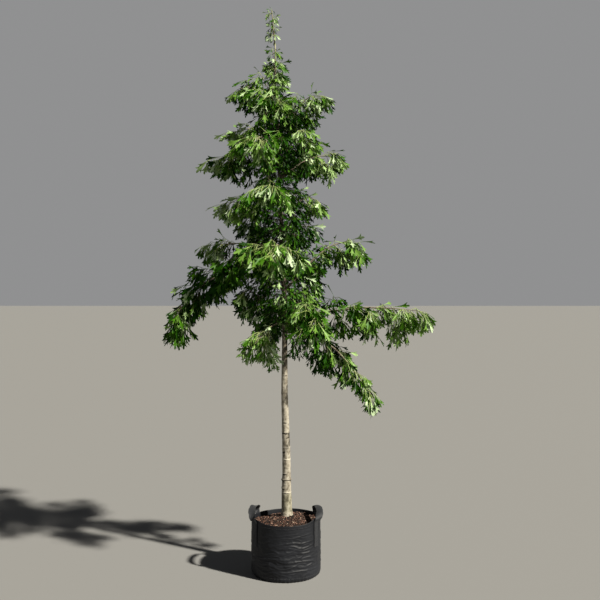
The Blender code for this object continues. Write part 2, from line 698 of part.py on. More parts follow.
# ---------------------------------------------------------------- the whole tree
def main():
    clear_scene()
    plant = new_collection("potted_oak")
    guides = new_collection("cutters", hidden=True)
    bag_fabric = material("bag_fabric", (0.022, 0.023, 0.026), 0.62, sheen=0.3)
    webbing = material("strap_webbing", (0.026, 0.028, 0.031), 0.7, sheen=0.3)
    soil = material("soil", (0.110, 0.062, 0.040), 0.95)
    bark = material("bark", (0.360, 0.310, 0.240), 0.85)
    green = material("leaf_green", (0.075, 0.160, 0.040), 0.5)

    make_bag(plant, bag_fabric)
    make_root_ball(plant, soil)
    make_handle("handle_left", -1, plant, webbing)
    make_handle("handle_right", 1, plant, webbing)
    trunk = make_trunk(plant, bark)
    cutter = make_trunk(guides, bark, grow=GAP, name="trunk_clearance")
    cutter.hide_render = True
    cutter.display_type = "WIRE"
    profile = three_sided_profile(guides)

    taken = {"trunk": tree_of(trunk.data)}
    stems = {}
    for limb in LIMBS:
        if limb.bare:
            bough = make_bough(limb, plant, cutter, bark)
            taken[bough.name] = tree_of(bough.data)
        stem = make_stem(limb, plant, profile, green)
        stems[limb] = stem
        taken[stem.name] = tree_of(stem.data)
    for limb, stem in stems.items():
        others = [tree for name, tree in taken.items() if name != stem.name]
        grow_foliage(limb, stem, profile, cutter, others, green)
        taken[stem.name] = tree_of(stem.data)
    bpy.data.objects.remove(profile, do_unlink=True)


main()
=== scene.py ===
"""Looks of a young oak in a fabric planting bag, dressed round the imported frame.

Metres, +Z up. The trunk and limbs follow the same named sizes and seeded rule as the solids,
carried on to finer shoots, real-size lobed leaves, bark relief, bag wrinkles and bark chips.
"""
import random
from collections import namedtuple
from math import atan2, cos, exp, hypot, pi, radians, sin, sqrt, tau

import bpy
import numpy as np
from mathutils import Euler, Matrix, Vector, noise


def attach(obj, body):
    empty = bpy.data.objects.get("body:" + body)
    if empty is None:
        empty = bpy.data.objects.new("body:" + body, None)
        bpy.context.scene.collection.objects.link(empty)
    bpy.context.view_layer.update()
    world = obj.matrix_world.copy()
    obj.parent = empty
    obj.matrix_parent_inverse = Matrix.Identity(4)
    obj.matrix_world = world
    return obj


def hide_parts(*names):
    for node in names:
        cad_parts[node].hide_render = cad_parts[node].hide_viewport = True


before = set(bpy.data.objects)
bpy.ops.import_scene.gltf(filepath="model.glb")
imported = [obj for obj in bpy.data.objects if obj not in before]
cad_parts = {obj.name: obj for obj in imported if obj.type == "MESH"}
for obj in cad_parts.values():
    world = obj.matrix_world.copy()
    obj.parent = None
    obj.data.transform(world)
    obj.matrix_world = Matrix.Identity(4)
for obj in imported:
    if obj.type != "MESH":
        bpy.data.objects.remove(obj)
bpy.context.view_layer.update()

UP = Vector((0.0, 0.0, 1.0))
UP3 = np.array((0.0, 0.0, 1.0))
GOLDEN_ANGLE = radians(137.5)

# ---- view and light
CAMERA_AT = (0.078, -4.4, 1.51)
CAMERA_LENS = 47.5
SUN_FROM = Vector((0.66, -0.42, 0.64))
SUN_SOFTNESS = radians(2.5)
SUN_STRENGTH = 8.6
SUN_COLOUR = (1.0, 0.95, 0.84)
# Light of the studio dome: pale round the horizon and darker above; sine of the height, colour.
DOME = ((0.37, (0.28, 0.281, 0.284)), (0.48, (0.03, 0.032, 0.036)))
FLOOR_SIZE = 400.0
FLOOR_COLOUR = (0.215, 0.214, 0.209)

# ---- colours, and ramps of (place, colour) stops
BAG_TONES = ((0.3, (0.0058, 0.0065, 0.0084)), (0.7, (0.0128, 0.014, 0.0176)))
WEBBING_TONES = ((0.35, (0.005, 0.0056, 0.007)), (0.68, (0.0235, 0.0255, 0.03)))
THREAD_COLOUR = (0.03, 0.031, 0.035)
COMPOST_COLOUR = (0.018, 0.01, 0.008)
# Chips: name, colour, and how often each kind comes.
CHIP_KINDS = (
    ("chip_dark", (0.014, 0.008, 0.006), 44), ("chip_brown", (0.045, 0.022, 0.014), 28),
    ("chip_red", (0.095, 0.045, 0.029), 16), ("chip_pink", (0.26, 0.15, 0.11), 9),
    ("chip_cream", (0.52, 0.44, 0.33), 3),
)
CREAM_CHIP = 4
# Colour of the dark lines below the scars: partly dark marks in the bark, partly painted shade under
# the raised scars.
DARK_MARK_AND_SHADE_COLOUR = (0.03, 0.023, 0.017)
RING_COLOUR = (0.44, 0.405, 0.33)
LIMB_COLOUR = (0.165, 0.135, 0.098)
PALE_BARK = (
    (0.34, (0.094, 0.078, 0.06)), (0.43, (0.195, 0.171, 0.13)),
    (0.51, (0.3, 0.27, 0.214)), (0.66, (0.4, 0.37, 0.304)),
)
LICHEN_BARK = (
    (0.36, (0.08, 0.072, 0.05)), (0.46, (0.19, 0.175, 0.122)),
    (0.6, (0.32, 0.298, 0.226)), (0.72, (0.43, 0.408, 0.328)),
)
# Browner, darker bark from under the crown up: partly the bark's own brown, partly painted shade of
# the crown on the trunk.
BROWN_BARK_PAINTED_SHADE = (
    (0.38, (0.045, 0.036, 0.026)), (0.52, (0.115, 0.094, 0.068)), (0.68, (0.21, 0.182, 0.138)),
)
YOUNG_BARK = ((0.38, (0.16, 0.15, 0.08)), (0.6, (0.38, 0.36, 0.225)))
# How the bark changes up the trunk: from one height to the other, and to what.
BARK_CHANGES = (
    (0.312, 0.33, LICHEN_BARK), (0.42, 0.445, PALE_BARK), (0.98, 1.3, BROWN_BARK_PAINTED_SHADE),
    (2.7, 2.86, YOUNG_BARK),
)
# Ribs and twigs come as a darker copy in painted shade and a paler copy in painted sunlight, partly
# older and young growth.
RIB_COLOURS = ((0.04, 0.09, 0.009), (0.33, 0.44, 0.12))  # older ones in painted shade, and young ones in painted sunlight
TWIG_COLOURS = ((0.062, 0.055, 0.022), (0.3, 0.35, 0.14))
LEAF_ROUGHNESS = 0.42
# Greens dealt out by shoot, with how often each is drawn deep in the crown and at its edge.
# The dark greens deep in the crown are partly painted shade. The fresh, bright and pale ones at its
# sunny edge are partly painted sunlight and highlight, on top of the leaves' own range of greens.
LeafColour = namedtuple("LeafColour", "colour inner outer shine")
LEAF_COLOURS = {
    "leaves_deep": LeafColour((0.0078, 0.036, 0.0008), 74, 9, 0.05),
    "leaves_mid": LeafColour((0.033, 0.1, 0.004), 21, 29, 0.08),
    "leaves_fresh": LeafColour((0.106, 0.208, 0.03), 4, 32, 0.15),
    "leaves_bright": LeafColour((0.225, 0.338, 0.125), 1, 20, 0.25),
    "leaves_pale": LeafColour((0.37, 0.485, 0.275), 0, 10, 0.32),
}

# ---- bag
BAG_RADIUS = 0.1925
BAG_HEIGHT = 0.305
BAG_WALL = 0.0035
BAG_FOOT_RADIUS = 0.176
BAG_CORNER = 0.022
MID_SWELL = 0.002
LOBE_SWELL = 0.008
RIM_SAG = 0.0035
RIM_SAG_SIDE = radians(125)
BAG_COLUMNS = 420
BAG_ROWS = 150
CORNER_ROWS = 9
HEM_DEPTH = 0.019  # the rim is folded down and sewn this far below its top
HEM_STEP = 0.0007
RIM_TOP = 0.0016  # height of the rim's rounded edge over the top of the plain wall
# Rows over the rim and down inside it: how far in, and how far above the plain wall's top.
RIM_ROWS = (
    (0.0004, 0.0008), (0.0012, RIM_TOP), (0.0026, RIM_TOP), (0.0034, 0.0006),
    (BAG_WALL, -0.004), (BAG_WALL, -0.012), (BAG_WALL, -0.022), (BAG_WALL, -0.04),
)
RIM_WAVES = ((0.00048, 5, 1.0), (0.00032, 11, 0.0))  # depth, number round the rim, and start
RIM_WAVE_REACH = 0.01
RIM_RELIEF_REACH = 0.03
# The cloth's soft unevenness: depth, stretch up the wall, scale and seed.
SOFT_WAVES = (0.0022, 1.6, 13.0, 3.0)
SMALL_WAVES = (0.0006, 2.4, 46.0, 7.0)
GATHERS = 58  # at the base, round the bag
GATHER_DEPTH = 0.0011
GATHER_HEIGHT = 0.018
CALM_FROM = 0.82  # share of the height from which the wrinkles fade to the hem,
CALM_OVER = 0.12
CALM = 0.75  # and by how much
# Where the cloth is wrinkled most: angle from +X in degrees, height, reach along and up the wall,
# and strength.
WRINKLE_SPOTS = (
    (-62, 0.11, 0.13, 0.08, 0.85), (-78, 0.205, 0.11, 0.05, 0.45),
    (-105, 0.085, 0.12, 0.065, 0.55), (10, 0.12, 0.09, 0.08, 0.5),
    (80, 0.11, 0.14, 0.08, 0.7), (165, 0.12, 0.12, 0.08, 0.6),
    (215, 0.14, 0.11, 0.08, 0.45),
)
WRINKLE_BASE = 0.16  # share that the wrinkles keep away from those places
WRINKLE_FOOT = 0.03  # they fade below this height
WRINKLES_UP = 9.0  # how much faster the folds change up the wall than along it
WRINKLE_BEND = (0.008, 3.0, 2.1, 31.0)  # as the cloth's waves
# Long and short folds: depth, stretch along the wall, scale, seed and sharpness.
FOLDS = ((0.0034, 0.35, 4.6, 40.0, 5.5), (0.002, 0.7, 6.5, 50.0, 5.0))
FOLD_MIDDLE = 0.35  # taken off each fold, so that the wall keeps its mean radius
PUCKER_PLACES = (-0.038, -0.027, 0.027, 0.04)  # across the wall from a leg's middle
PUCKER_WIDTH = 0.0042
PUCKER_DEPTH = 0.0011
PUCKER_FROM = 0.2
PUCKER_RISE = 0.07
COVERED_WALL = -0.0004  # the wall stays this far in under a strap's leg

# ---- straps and stitches
STRAP_WIDTH = 0.038
STRAP_THICK = 0.0028
STRAP_FRONT_LEG = radians(-31)
STRAP_BACK_LEG = radians(33)
LEGS = (STRAP_FRONT_LEG, STRAP_BACK_LEG, pi - STRAP_FRONT_LEG, pi - STRAP_BACK_LEG)
RIM_LIFTS = (  # where a strap pulls the rim up: side, spread and height
    (STRAP_FRONT_LEG, 0.28, 0.019),
    (pi - STRAP_FRONT_LEG, 0.32, 0.012),
)
RIM_LIFT_FROM = 0.86  # share of the bag's height where the pull starts
STRAP_FOOT = 0.172
STRAP_LEG_TOP = 0.301
STRAP_OFF = 0.0003
# The right-hand strap's loop from front to back: place, and how far its width has turned outward.
STRAP_LOOP = (
    ((0.1765, -0.101, 0.32), 0.35),
    ((0.183, -0.085, 0.339), 0.7),
    ((0.186, -0.052, 0.3535), 1.0),
    ((0.181, 0.004, 0.36), 1.0),
    ((0.172, 0.055, 0.3545), 1.0),
    ((0.1655, 0.088, 0.3385), 0.78),
    ((0.166, 0.104, 0.3205), 0.42),
)
STRAP_CROWN = 0.005  # how far the loop's edges bend down beside its middle
STRAP_RIBS = 9
STRAP_RIB_DEPTH = 0.00035
STRAP_STEPS = 10  # rings between two stations
STRAP_COLUMNS = 29
STRAP_COVER_BELOW = 0.03  # how far below a leg's foot the wall starts to draw in,
STRAP_COVER_OVER = 0.02  # over what height it does so,
STRAP_COVER_BESIDE = 0.01  # and how far beside it
STITCH_RADIUS = 0.00042
STITCH_STEP = 0.0045
STITCH_INSET = 0.0045  # from a strap's edge
STITCHES_ROUND = 230
STITCH_PART = 0.66  # of the way from one stitch's start to the next
STITCH_ROWS = (BAG_HEIGHT - HEM_DEPTH + 0.003, 0.0235)  # under the hem, and above the base

# ---- soil
SOIL_EDGE = 0.283
SOIL_RADII = (0.0, 0.06, 0.11, 0.155, 0.188)
SOIL_HEIGHTS = (0.299, 0.2985, 0.2925, 0.2855, 0.2825)
SOIL_LUMPS = ((0.0022, 0.0, 55.0, 5.0), (0.0012, 0.0, 150.0, 9.0))  # as the cloth's waves
SOIL_DIP = (-0.09, 0.13)  # the compost has sunk a little here, behind the stem
SOIL_DIP_REACH = 0.09
SOIL_DIP_DEPTH = 0.014
SOIL_RINGS = 60
SOIL_COLUMNS = 150
SOIL_SIDE_HEIGHTS = (0.2, 0.1, BAG_CORNER, BAG_WALL + 0.0006)
SOIL_GAP = 0.005
CHIP_COUNT = 4300
CHIP_LENGTHS = (0.004, 0.013)
CHIP_WIDTHS = (0.35, 0.75)  # as shares of a chip's length, and so are the thicknesses
CHIP_THICKNESSES = (0.16, 0.38)
CHIP_SIDES = (5, 6, 7)
CREAM_CHIP_SIZE = 0.7

# ---- trunk
TRUNK_BASE = 0.3
TRUNK_SIDES = 48
TRUNK_FINE_TO = 1.3  # the rings stand closest up to this height
TRUNK_LOW_ROWS = 640
TRUNK_HIGH_ROWS = 230
# Height, x, y and radius of the trunk, from the flared foot to the tip of the leader.
TRUNK_LINE = (
    (TRUNK_BASE, 0.004, 0.055, 0.0345),
    (0.325, 0.004, 0.055, 0.03),
    (0.42, 0.002, 0.053, 0.0275),
    (0.54, 0.002, 0.051, 0.0236),
    (0.65, 0.001, 0.049, 0.0225),
    (0.83, -0.004, 0.046, 0.0205),
    (0.99, -0.009, 0.042, 0.0183),
    (1.26, -0.008, 0.037, 0.0152),
    (1.43, -0.006, 0.034, 0.0142),
    (1.8, -0.02, 0.027, 0.0118),
    (2.2, -0.037, 0.02, 0.0085),
    (2.71, -0.059, 0.01, 0.0045),
    (2.92, -0.06, 0.006, 0.0035),
    (3.0, -0.069, 0.004, 0.0029),
    (3.07, -0.075, 0.003, 0.0024),
    (3.118, -0.078, 0.002, 0.002),
)
# Scars on the stem: height, side they are strongest on in degrees from +X (None for all round),
# how far they stand out, half height, how dark a line (mark and painted shade) runs below, and its
# slope.
Scar = namedtuple("Scar", "height side lift half dark slope")
SCARS = (
    Scar(0.316, None, 0.001, 0.006, 0.0, 0.0), Scar(0.4316, None, 0.0016, 0.004, 0.5, 0.0),
    Scar(0.456, 205, 0.0035, 0.006, 1.2, 0.0), Scar(0.474, -90, 0.0008, 0.003, 0.0, 0.0),
    Scar(0.501, 0, 0.0045, 0.004, 0.9, 0.0), Scar(0.501, 190, 0.005, 0.005, 1.0, 0.1),
    Scar(0.506, None, 0.0008, 0.005, 1.1, 0.0), Scar(0.537, 235, 0.0012, 0.004, 1.4, 0.0),
    Scar(0.572, -80, 0.0016, 0.006, 0.0, 0.0), Scar(0.617, None, 0.002, 0.005, 0.35, 0.0),
    Scar(0.668, 232, 0.0012, 0.008, 2.2, 0.3), Scar(0.685, None, 0.0016, 0.004, 0.35, 0.0),
    Scar(0.738, -60, 0.0014, 0.005, 1.4, 0.8), Scar(0.768, None, 0.0013, 0.005, 1.5, -0.18),
    Scar(0.826, -100, 0.0012, 0.004, 1.2, 0.0), Scar(0.905, 20, 0.0012, 0.004, 0.0, 0.0),
    Scar(0.99, None, 0.0008, 0.004, 0.3, 0.0), Scar(1.09, -70, 0.0016, 0.005, 0.7, 0.2),
    Scar(1.21, None, 0.0008, 0.004, 0.0, 0.0),
)
SCAR_SPREAD = 0.75  # radians to each side of a one-sided scar
SCAR_NEAR = 0.03  # height from a scar beyond which its colour doesn't reach
DARK_FROM = 0.3
DARK_DEPTH = 0.0012
PALE_LIFT = 0.0014  # a ring that stands out more than this has lost its grey skin
DARK_BELOW = 1.4  # of its half height, from a scar down to its dark line of mark and painted shade
# Plates of bark: depth, stretch up the trunk, scale and seed; and the shallow splits in them.
PLATES = ((0.00055, 0.35, 70.0, 1.0), (0.00035, 0.5, 190.0, 2.0))
SPLITS = (1.0, 0.18, 85.0, 4.0)
SPLIT_WIDTH = 0.12
SPLIT_DEPTH = 0.0007
FLARE_DEPTH = 0.003
FLARE_REACH = 0.012
FULL_BARK = 0.018  # radius below which the relief is slimmer

# ---- limbs and their twigs
# One row for each limb: where it leaves the trunk, where its stem ends, the slopes in degrees
# at which it leaves and arrives, its radius at the trunk, the share that is bare bough (0 for a
# stem straight from the trunk), the reach of its twigs, their number, the size of its leaves, and
# a gain on the sunlight painted into their greens: 1 as their place alone makes it, less if older or
# shaded.
Limb = namedtuple("Limb", "name height tip rise fall radius bare spread twigs leaf fresh")
LIMBS = [Limb(*row) for row in (
    ("leader", 2.95, (-0.08, -0.01, 3.112), 82, -80, 0.0032, 0.0, 0.035, 4, 0.4, 1.0),
    ("crown_high", 2.72, (-0.072, -0.04, 2.885), 78, -75, 0.004, 0.0, 0.04, 3, 0.5, 2.0),
    ("crown_low", 2.58, (-0.135, -0.05, 2.745), 65, -55, 0.004, 0.0, 0.06, 3, 0.7, 2.0),
    ("top_left", 2.56, (-0.252, -0.06, 2.668), 50, 20, 0.0055, 0.3, 0.09, 4, 0.85, 0.9),
    ("top_right", 2.32, (0.193, 0.01, 2.645), 55, 10, 0.0065, 0.42, 0.1, 5, 0.85, 1.0),
    ("top_front", 2.5, (-0.08, -0.22, 2.59), 45, 20, 0.0055, 0.0, 0.13, 5, 1.0, 0.8),
    ("top_back", 2.46, (0.03, 0.25, 2.59), 45, 20, 0.0055, 0.3, 0.13, 4, 1.0, 1.0),
    ("upper_left_high", 2.4, (-0.25, -0.08, 2.43), 35, 30, 0.006, 0.28, 0.12, 4, 0.9, 2.8),
    ("upper_left", 2.24, (-0.355, 0.08, 2.312), 32, 26, 0.007, 0.3, 0.13, 5, 1.0, 1.7),
    ("upper_right_high", 2.27, (0.11, -0.09, 2.43), 40, 15, 0.005, 0.0, 0.12, 4, 1.0, 1.3),
    ("upper_right", 2.18, (0.272, 0.08, 2.312), 40, 18, 0.007, 0.32, 0.1, 5, 0.88, 1.3),
    ("upper_front", 2.26, (-0.15, -0.31, 2.34), 40, 30, 0.0065, 0.25, 0.14, 4, 1.0, 1.1),
    ("upper_back", 2.27, (0.12, 0.33, 2.365), 40, 20, 0.0065, 0.3, 0.13, 5, 1.0, 1.0),
    ("waist_left", 1.98, (-0.296, -0.08, 2.04), 35, 35, 0.007, 0.28, 0.1, 5, 1.0, 2.6),
    ("waist_right", 1.97, (0.165, 0.03, 2.07), 40, 30, 0.005, 0.0, 0.1, 4, 1.0, 1.5),
    ("waist_front", 2.03, (-0.08, -0.32, 2.1), 38, 25, 0.0065, 0.25, 0.14, 4, 1.0, 0.8),
    ("waist_back", 1.89, (-0.19, 0.31, 1.96), 35, 25, 0.007, 0.3, 0.14, 4, 1.0, 1.0),
    ("mid_left_high", 1.78, (-0.462, 0.13, 1.822), 24, 2, 0.007, 0.22, 0.085, 5, 0.9, 3.4),
    ("mid_left_near", 1.765, (-0.3, -0.13, 1.712), 15, 32, 0.008, 0.25, 0.16, 5, 1.0, 0.4),
    ("mid_left_far", 1.66, (-0.602, -0.04, 1.372), 20, 80, 0.0095, 0.36, 0.13, 8, 1.0, 0.75),
    ("mid_right_high", 1.84, (0.1, -0.06, 1.91), 35, 20, 0.005, 0.0, 0.11, 3, 1.0, 0.3),
    ("mid_right", 1.56, (0.415, 0.08, 1.802), 46, 38, 0.0085, 0.4, 0.08, 6, 0.92, 1.6),
    ("mid_front", 1.74, (-0.06, -0.38, 1.74), 30, 35, 0.008, 0.25, 0.16, 5, 1.0, 0.95),
    ("mid_back", 1.66, (0.125, 0.39, 1.725), 30, 20, 0.008, 0.3, 0.16, 4, 1.0, 1.0),
    ("inner_left", 1.57, (-0.235, 0.02, 1.555), 18, 35, 0.005, 0.0, 0.11, 4, 1.0, 1.0),
    ("inner_right", 1.5, (0.14, 0.05, 1.58), 35, 10, 0.005, 0.0, 0.09, 3, 0.9, 0.5),
    ("low_right_far", 1.38, (0.752, -0.06, 1.446), 18, 8, 0.01, 0.3, 0.122, 9, 0.9, 1.7),
    ("low_right_near", 1.355, (0.24, 0.055, 1.246), 5, 35, 0.0075, 0.25, 0.14, 4, 1.0, 0.15),
    ("low_right_drop", 1.33, (0.466, -0.13, 0.992), 8, 56, 0.009, 0.34, 0.078, 6, 0.85, 0.9),
    ("low_left", 1.38, (-0.162, -0.14, 1.275), 5, 42, 0.0065, 0.3, 0.12, 4, 0.92, 4.5),
    ("low_front", 1.46, (0.165, -0.33, 1.41), 20, 35, 0.007, 0.28, 0.15, 4, 1.0, 0.5),
    ("low_back", 1.44, (-0.1, 0.39, 1.41), 20, 35, 0.0075, 0.28, 0.16, 5, 1.0, 1.0),
)]
NO_GAP = (2.0, 2.0)  # past a limb's end
BARE_STRETCH = {"low_right_far": (0.62, 0.74)}  # share of the leafy part with no twigs
# Twigs outside the rule: share of the leafy part, direction, and length.
OWN_TWIGS = {
    "top_right": ((0.04, (0.1, -0.2, 0.96), 0.095),),
    "mid_left_far": ((0.12, (-0.96, -0.15, 0.2), 0.15),),
    "inner_left": ((0.8, (-0.35, 0.05, -0.93), 0.11),),
    "low_right_far": (
        (0.03, (0.25, 0.1, 0.96), 0.1), (0.44, (0.25, 0.0, -0.97), 0.1),
        (0.72, (0.1, 0.0, -0.99), 0.12),
    ),
    "low_right_near": ((0.04, (-0.15, -0.35, -0.92), 0.11), (0.8, (0.35, -0.1, -0.93), 0.12)),
    "low_left": ((0.32, (0.05, -0.1, -0.99), 0.16),),
}
LIMB_SIDES = 10
LIMB_RING_GAP = 0.008  # between two rings of a limb
LIMB_PULL = 0.38
LIMB_TAPER = 0.8
LIMB_SWAY = 0.4375  # of its radius at the trunk
SWAY_SEEDS = (11.0, 17.0, 23.0)
COLLAR = 0.45  # a limb's swelling where it leaves the trunk, as a share of its radius
COLLAR_REACH = 0.012
KNUCKLE = 0.16
KNUCKLE_GAP = 0.034
STEM_END = 0.985
HEADING_STEP = 0.01
TWIG_TIP_RADIUS = 0.0014
# The seeded rule's twigs: where the first stands, how they lean ahead, across and down, how much
# more they lean ahead near the tip, and how their length swells and slims along the stem.
TWIG_FIRST = 0.7
TWIG_FORWARD = 0.45
TWIG_FORWARD_GAIN = 0.9
TWIG_FORWARD_FROM = 0.6
TWIG_ACROSS = 0.9
TWIG_FLATNESS = 0.5
TWIG_DROOP = 0.3
TWIG_SHORTEST = 0.62
TWIG_PEAK = 0.85
TIP_SLIM = 0.4
TWIG_LENGTHS = (0.82, 1.08)

# ---- shoots and leaves
SHOOTS_ON_TWIG = 7  # on a twig of full length
FULL_TWIG = 0.12
SHOOTS_FROM = 0.12  # share of a twig's length where its shoots start,
SHOOTS_OVER = 0.82  # and the share they take up
SHOOT_LENGTHS = (0.032, 0.066)
SHOOT_STEPS = 4
SHOOT_SAGS = (0.05, 0.25)
TWIG_RADIUS = 0.0021
SHOOT_RADIUS = 0.0013
SHOOT_TIP_RADIUS = 0.0008
# How shoots leave a twig, a stem and a bare bough: ahead, across and down.
TWIG_SIDE = (0.75, 0.8, 0.4)
STEM_SIDE = (0.7, 0.8, 0.15)
BARE_SIDE = (0.5, 1.0, 0.0)
SHOOT_FLATNESS = 0.8
TUFT_FROM = 0.42  # where a shoot's leaves start, and how fast they close up to its end
TUFT_RISE = 0.95
LEAF_FORWARD = 0.62  # how a leaf leaves its shoot: ahead, to the side, and down
END_FORWARD = 1.3  # how much further ahead those at its end lean
LEAF_SPREAD = 0.6
LEAF_HANG = (0.3, 1.15)
LEAF_HANG_GAIN = 0.35  # how much more they hang at the crown's edge
STEM_SHOOTS = 2  # on the stem, for each twig
BARE_SHOOTS = 9  # short ones on the bare bough that leads there,
BARE_LEAF = 0.85  # and the size of their leaves
LEAVES_AT_END = 7
LEAVES_AT_TIP = 6
LEAVES_ON_SHOOT = (5, 6, 7)
LEAF_LENGTH = 0.102
LEAF_SIZES = (0.7, 1.1)
LEAF_TURN = (0.25, -0.65)  # how far the leaves turn their faces to the light, along X and Y
LEAF_FACE_UP = (0.2, 1.0)
# As shares of a leaf's length: points along its middle, points along one edge from the stalk
# over the side lobe and its notch to the middle lobe, and the midrib's places and radii.
LEAF_MIDDLE = (0.05, 0.3, 0.52, 0.68, 0.84, 1.0)
LEAF_EDGE = (
    (0.05, 0.007), (0.3, 0.024), (0.52, 0.05), (0.66, 0.092), (0.87, 0.192), (0.775, 0.056),
    (0.93, 0.056),
)
RIB_AT = (0.0, 0.35, 0.88)
RIB_RADII = (0.01, 0.008, 0.0025)
# How leaves differ: droop, fold along the midrib, twist, and breadth.
LEAF_SPANS = ((0.02, 0.3), (0.15, 0.8), (-0.5, 0.5), (0.8, 1.15))
INNER_LEAF = 0.64  # size of a leaf deep in the crown, as a share of one at its edge
STRAY_LEAVES = 0.3  # share of a shoot's leaves that have a colour of their own
INNER_REACH = 0.1  # distance from the trunk where the crown counts as deep,
OUTER_REACH = 0.34  # and where it counts as its edge
LEAST_REACH = 0.18  # a limb's own edge is its tip, or this far out for the short ones
TOP_FROM = 2.5  # from here up the leaves come to count as at the edge,
TOP_OVER = 0.2  # over this height
SUNNY_SIDE = radians(-60)  # where the greens are painted most sunlit,
SHADY_SHARE = 0.25  # and how sunlit they are painted on the far side, as a share of that
MOST_PAINTED_SUN = 1.5  # most that a shoot's sun and its limb's gain on painted sunlight come to
YOUNG_AND_SUNLIT_FROM = 0.45  # share of painted sun from which twigs and ribs are drawn young and pale, as painted sunlight
# Short leafy shoots straight from the trunk, which close the crown round it.
TRUNK_SHOOTS = 580
TRUNK_SHOOT_SPAN = (1.375, 2.86)
TRUNK_SHOOTS_THIN = 0.3  # share of them that grow where the top is thin, above TOP_FROM
TRUNK_SHOOT_REACH = ((1.375, 0.07), (1.5, 0.19), (1.75, 0.17), (2.1, 0.12), (2.8, 0.04))
TRUNK_SHOOT_LENGTHS = (0.45, 1.0)
TRUNK_SHOOT_RISES = (-0.1, 0.6)
TRUNK_LEAF_SIZES = (0.7, 1.1)
TRUNK_LEAF_SLIM = 0.35  # how much smaller they get to the top
LEAVES_ON_TRUNK_SHOOT = (7, 8, 9)


# ---- small sums
def clamp(value):
    return max(0.0, min(1.0, value))


def bell(value):
    """1 at zero, falling to 0 on both sides."""
    return exp(-value * value)


def turn_from(side, angle):
    """The turn from a side to an angle, at most half a turn either way."""
    return (angle - side + pi) % tau - pi


def level_axes(angle):
    """Level directions out of a round wall at an angle, and along it."""
    x, y = cos(angle), sin(angle)
    return np.array((x, y, 0.0)), np.array((-y, x, 0.0))


def wander(x, y, z, scale, seed=0.0):
    return noise.noise(Vector((x * scale + seed, y * scale - seed, z * scale + 2 * seed)))


def wave(x, y, z, *rows):
    """A sum of seeded noises, each with a depth, a stretch in Z, a scale and a seed."""
    return sum(depth * wander(x, y, z * stretch, scale, seed) for depth, stretch, scale, seed in rows)


def unit(vectors):
    return vectors / np.maximum(np.linalg.norm(vectors, axis=-1, keepdims=True), 1e-9)


# ---- materials
class NodeKit:
    """Short ways to add nodes to a material or a world, and to join them."""

    def __init__(self, owner):
        owner.use_nodes = True
        self.owner = owner
        self.tree = owner.node_tree

    def feed(self, node, inputs):
        """Sets a node's inputs, by name or number, to values or to other nodes' outputs."""
        for name, value in inputs.items():
            if isinstance(value, bpy.types.NodeSocket):
                self.tree.links.new(value, node.inputs[name])
            else:
                node.inputs[name].default_value = value

    def add(self, kind, output, inputs, **settings):
        """Adds a node and gives one of its outputs."""
        made = self.tree.nodes.new("ShaderNode" + kind)
        for name, value in settings.items():
            setattr(made, name, value)
        self.feed(made, inputs)
        return made.outputs[output]

    def height(self, kind):
        place = self.add("TexCoord", kind, {})
        return self.add("SeparateXYZ", "Z", {"Vector": place})

    def ramp(self, factor, stops):
        """A colour ramp; stops are (place, colour)."""
        made = self.tree.nodes.new("ShaderNodeValToRGB")
        points = made.color_ramp.elements
        while len(points) < len(stops):
            points.new(0.5)
        for point, (place, colour) in zip(points, stops):
            point.position = place
            point.color = (*colour, 1.0)
        self.feed(made, {"Fac": factor})
        return made.outputs["Color"]


class Finish(NodeKit):
    """A new material on one shader, in the object's own coordinates."""

    def __init__(self, name, roughness, specular):
        super().__init__(bpy.data.materials.new(name))
        self.shader = self.tree.nodes["Principled BSDF"]
        self.feed(self.shader, {"Roughness": roughness, "Specular IOR Level": specular})

    def place(self, scale=(1.0, 1.0, 1.0)):
        place = self.add("TexCoord", "Object", {})
        return self.add("Mapping", "Vector", {"Scale": scale, "Vector": place})

    def noise(self, vector, scale, detail=4.0, rough=0.55):
        inputs = {"Scale": scale, "Detail": detail, "Roughness": rough, "Vector": vector}
        return self.add("TexNoise", "Fac", inputs)

    def join(self, operation, one, other):
        return self.add("Math", "Value", {0: one, 1: other}, operation=operation)

    def weave(self, vector, pitch):
        """Height of a plain weave, from two crossed waves."""
        scale = 1.0 / (pitch * tau)
        inputs = {"Scale": scale, "Distortion": 0.6, "Detail": 1.0, "Vector": vector}
        waves = [self.add("TexWave", "Fac", inputs, bands_direction=way) for way in ("X", "Z")]
        return self.join("MULTIPLY", *waves)

    def paint(self, colour):
        self.feed(self.shader, {"Base Color": colour})

    def mottle(self, cloud, colour, spread, places):
        """Paints a colour that wanders a little darker and lighter."""
        tones = [tuple(min(1.0, c * (1.0 + change)) for c in colour) for change in (-spread, spread)]
        self.paint(self.ramp(cloud, list(zip(places, tones))))

    def bump(self, height, strength, distance):
        inputs = {"Strength": strength, "Distance": distance, "Height": height}
        self.feed(self.shader, {"Normal": self.add("Bump", "Normal", inputs)})


def bag_material():
    made = Finish("coated_bag_fabric", 0.55, 0.22)
    place = made.place()
    cloud = made.noise(place, 9.0, 6.0)
    made.paint(made.ramp(cloud, BAG_TONES))
    rough = made.add("MapRange", "Result", {"To Min": 0.5, "To Max": 0.64, "Value": cloud})
    made.feed(made.shader, {"Roughness": rough, "Sheen Weight": 0.02, "Sheen Roughness": 0.4})
    grit = made.noise(place, 260.0, 3.0)
    made.bump(made.join("ADD", made.weave(place, 0.0016), grit), 0.18, 0.0005)
    return made.owner


def webbing_material():
    made = Finish("strap_webbing_weave", 0.66, 0.32)
    place = made.place()
    made.paint(made.ramp(made.noise(place, 420.0, 3.0), WEBBING_TONES))
    made.feed(made.shader, {"Sheen Weight": 0.05})
    made.bump(made.weave(place, 0.0022), 0.5, 0.0008)
    return made.owner


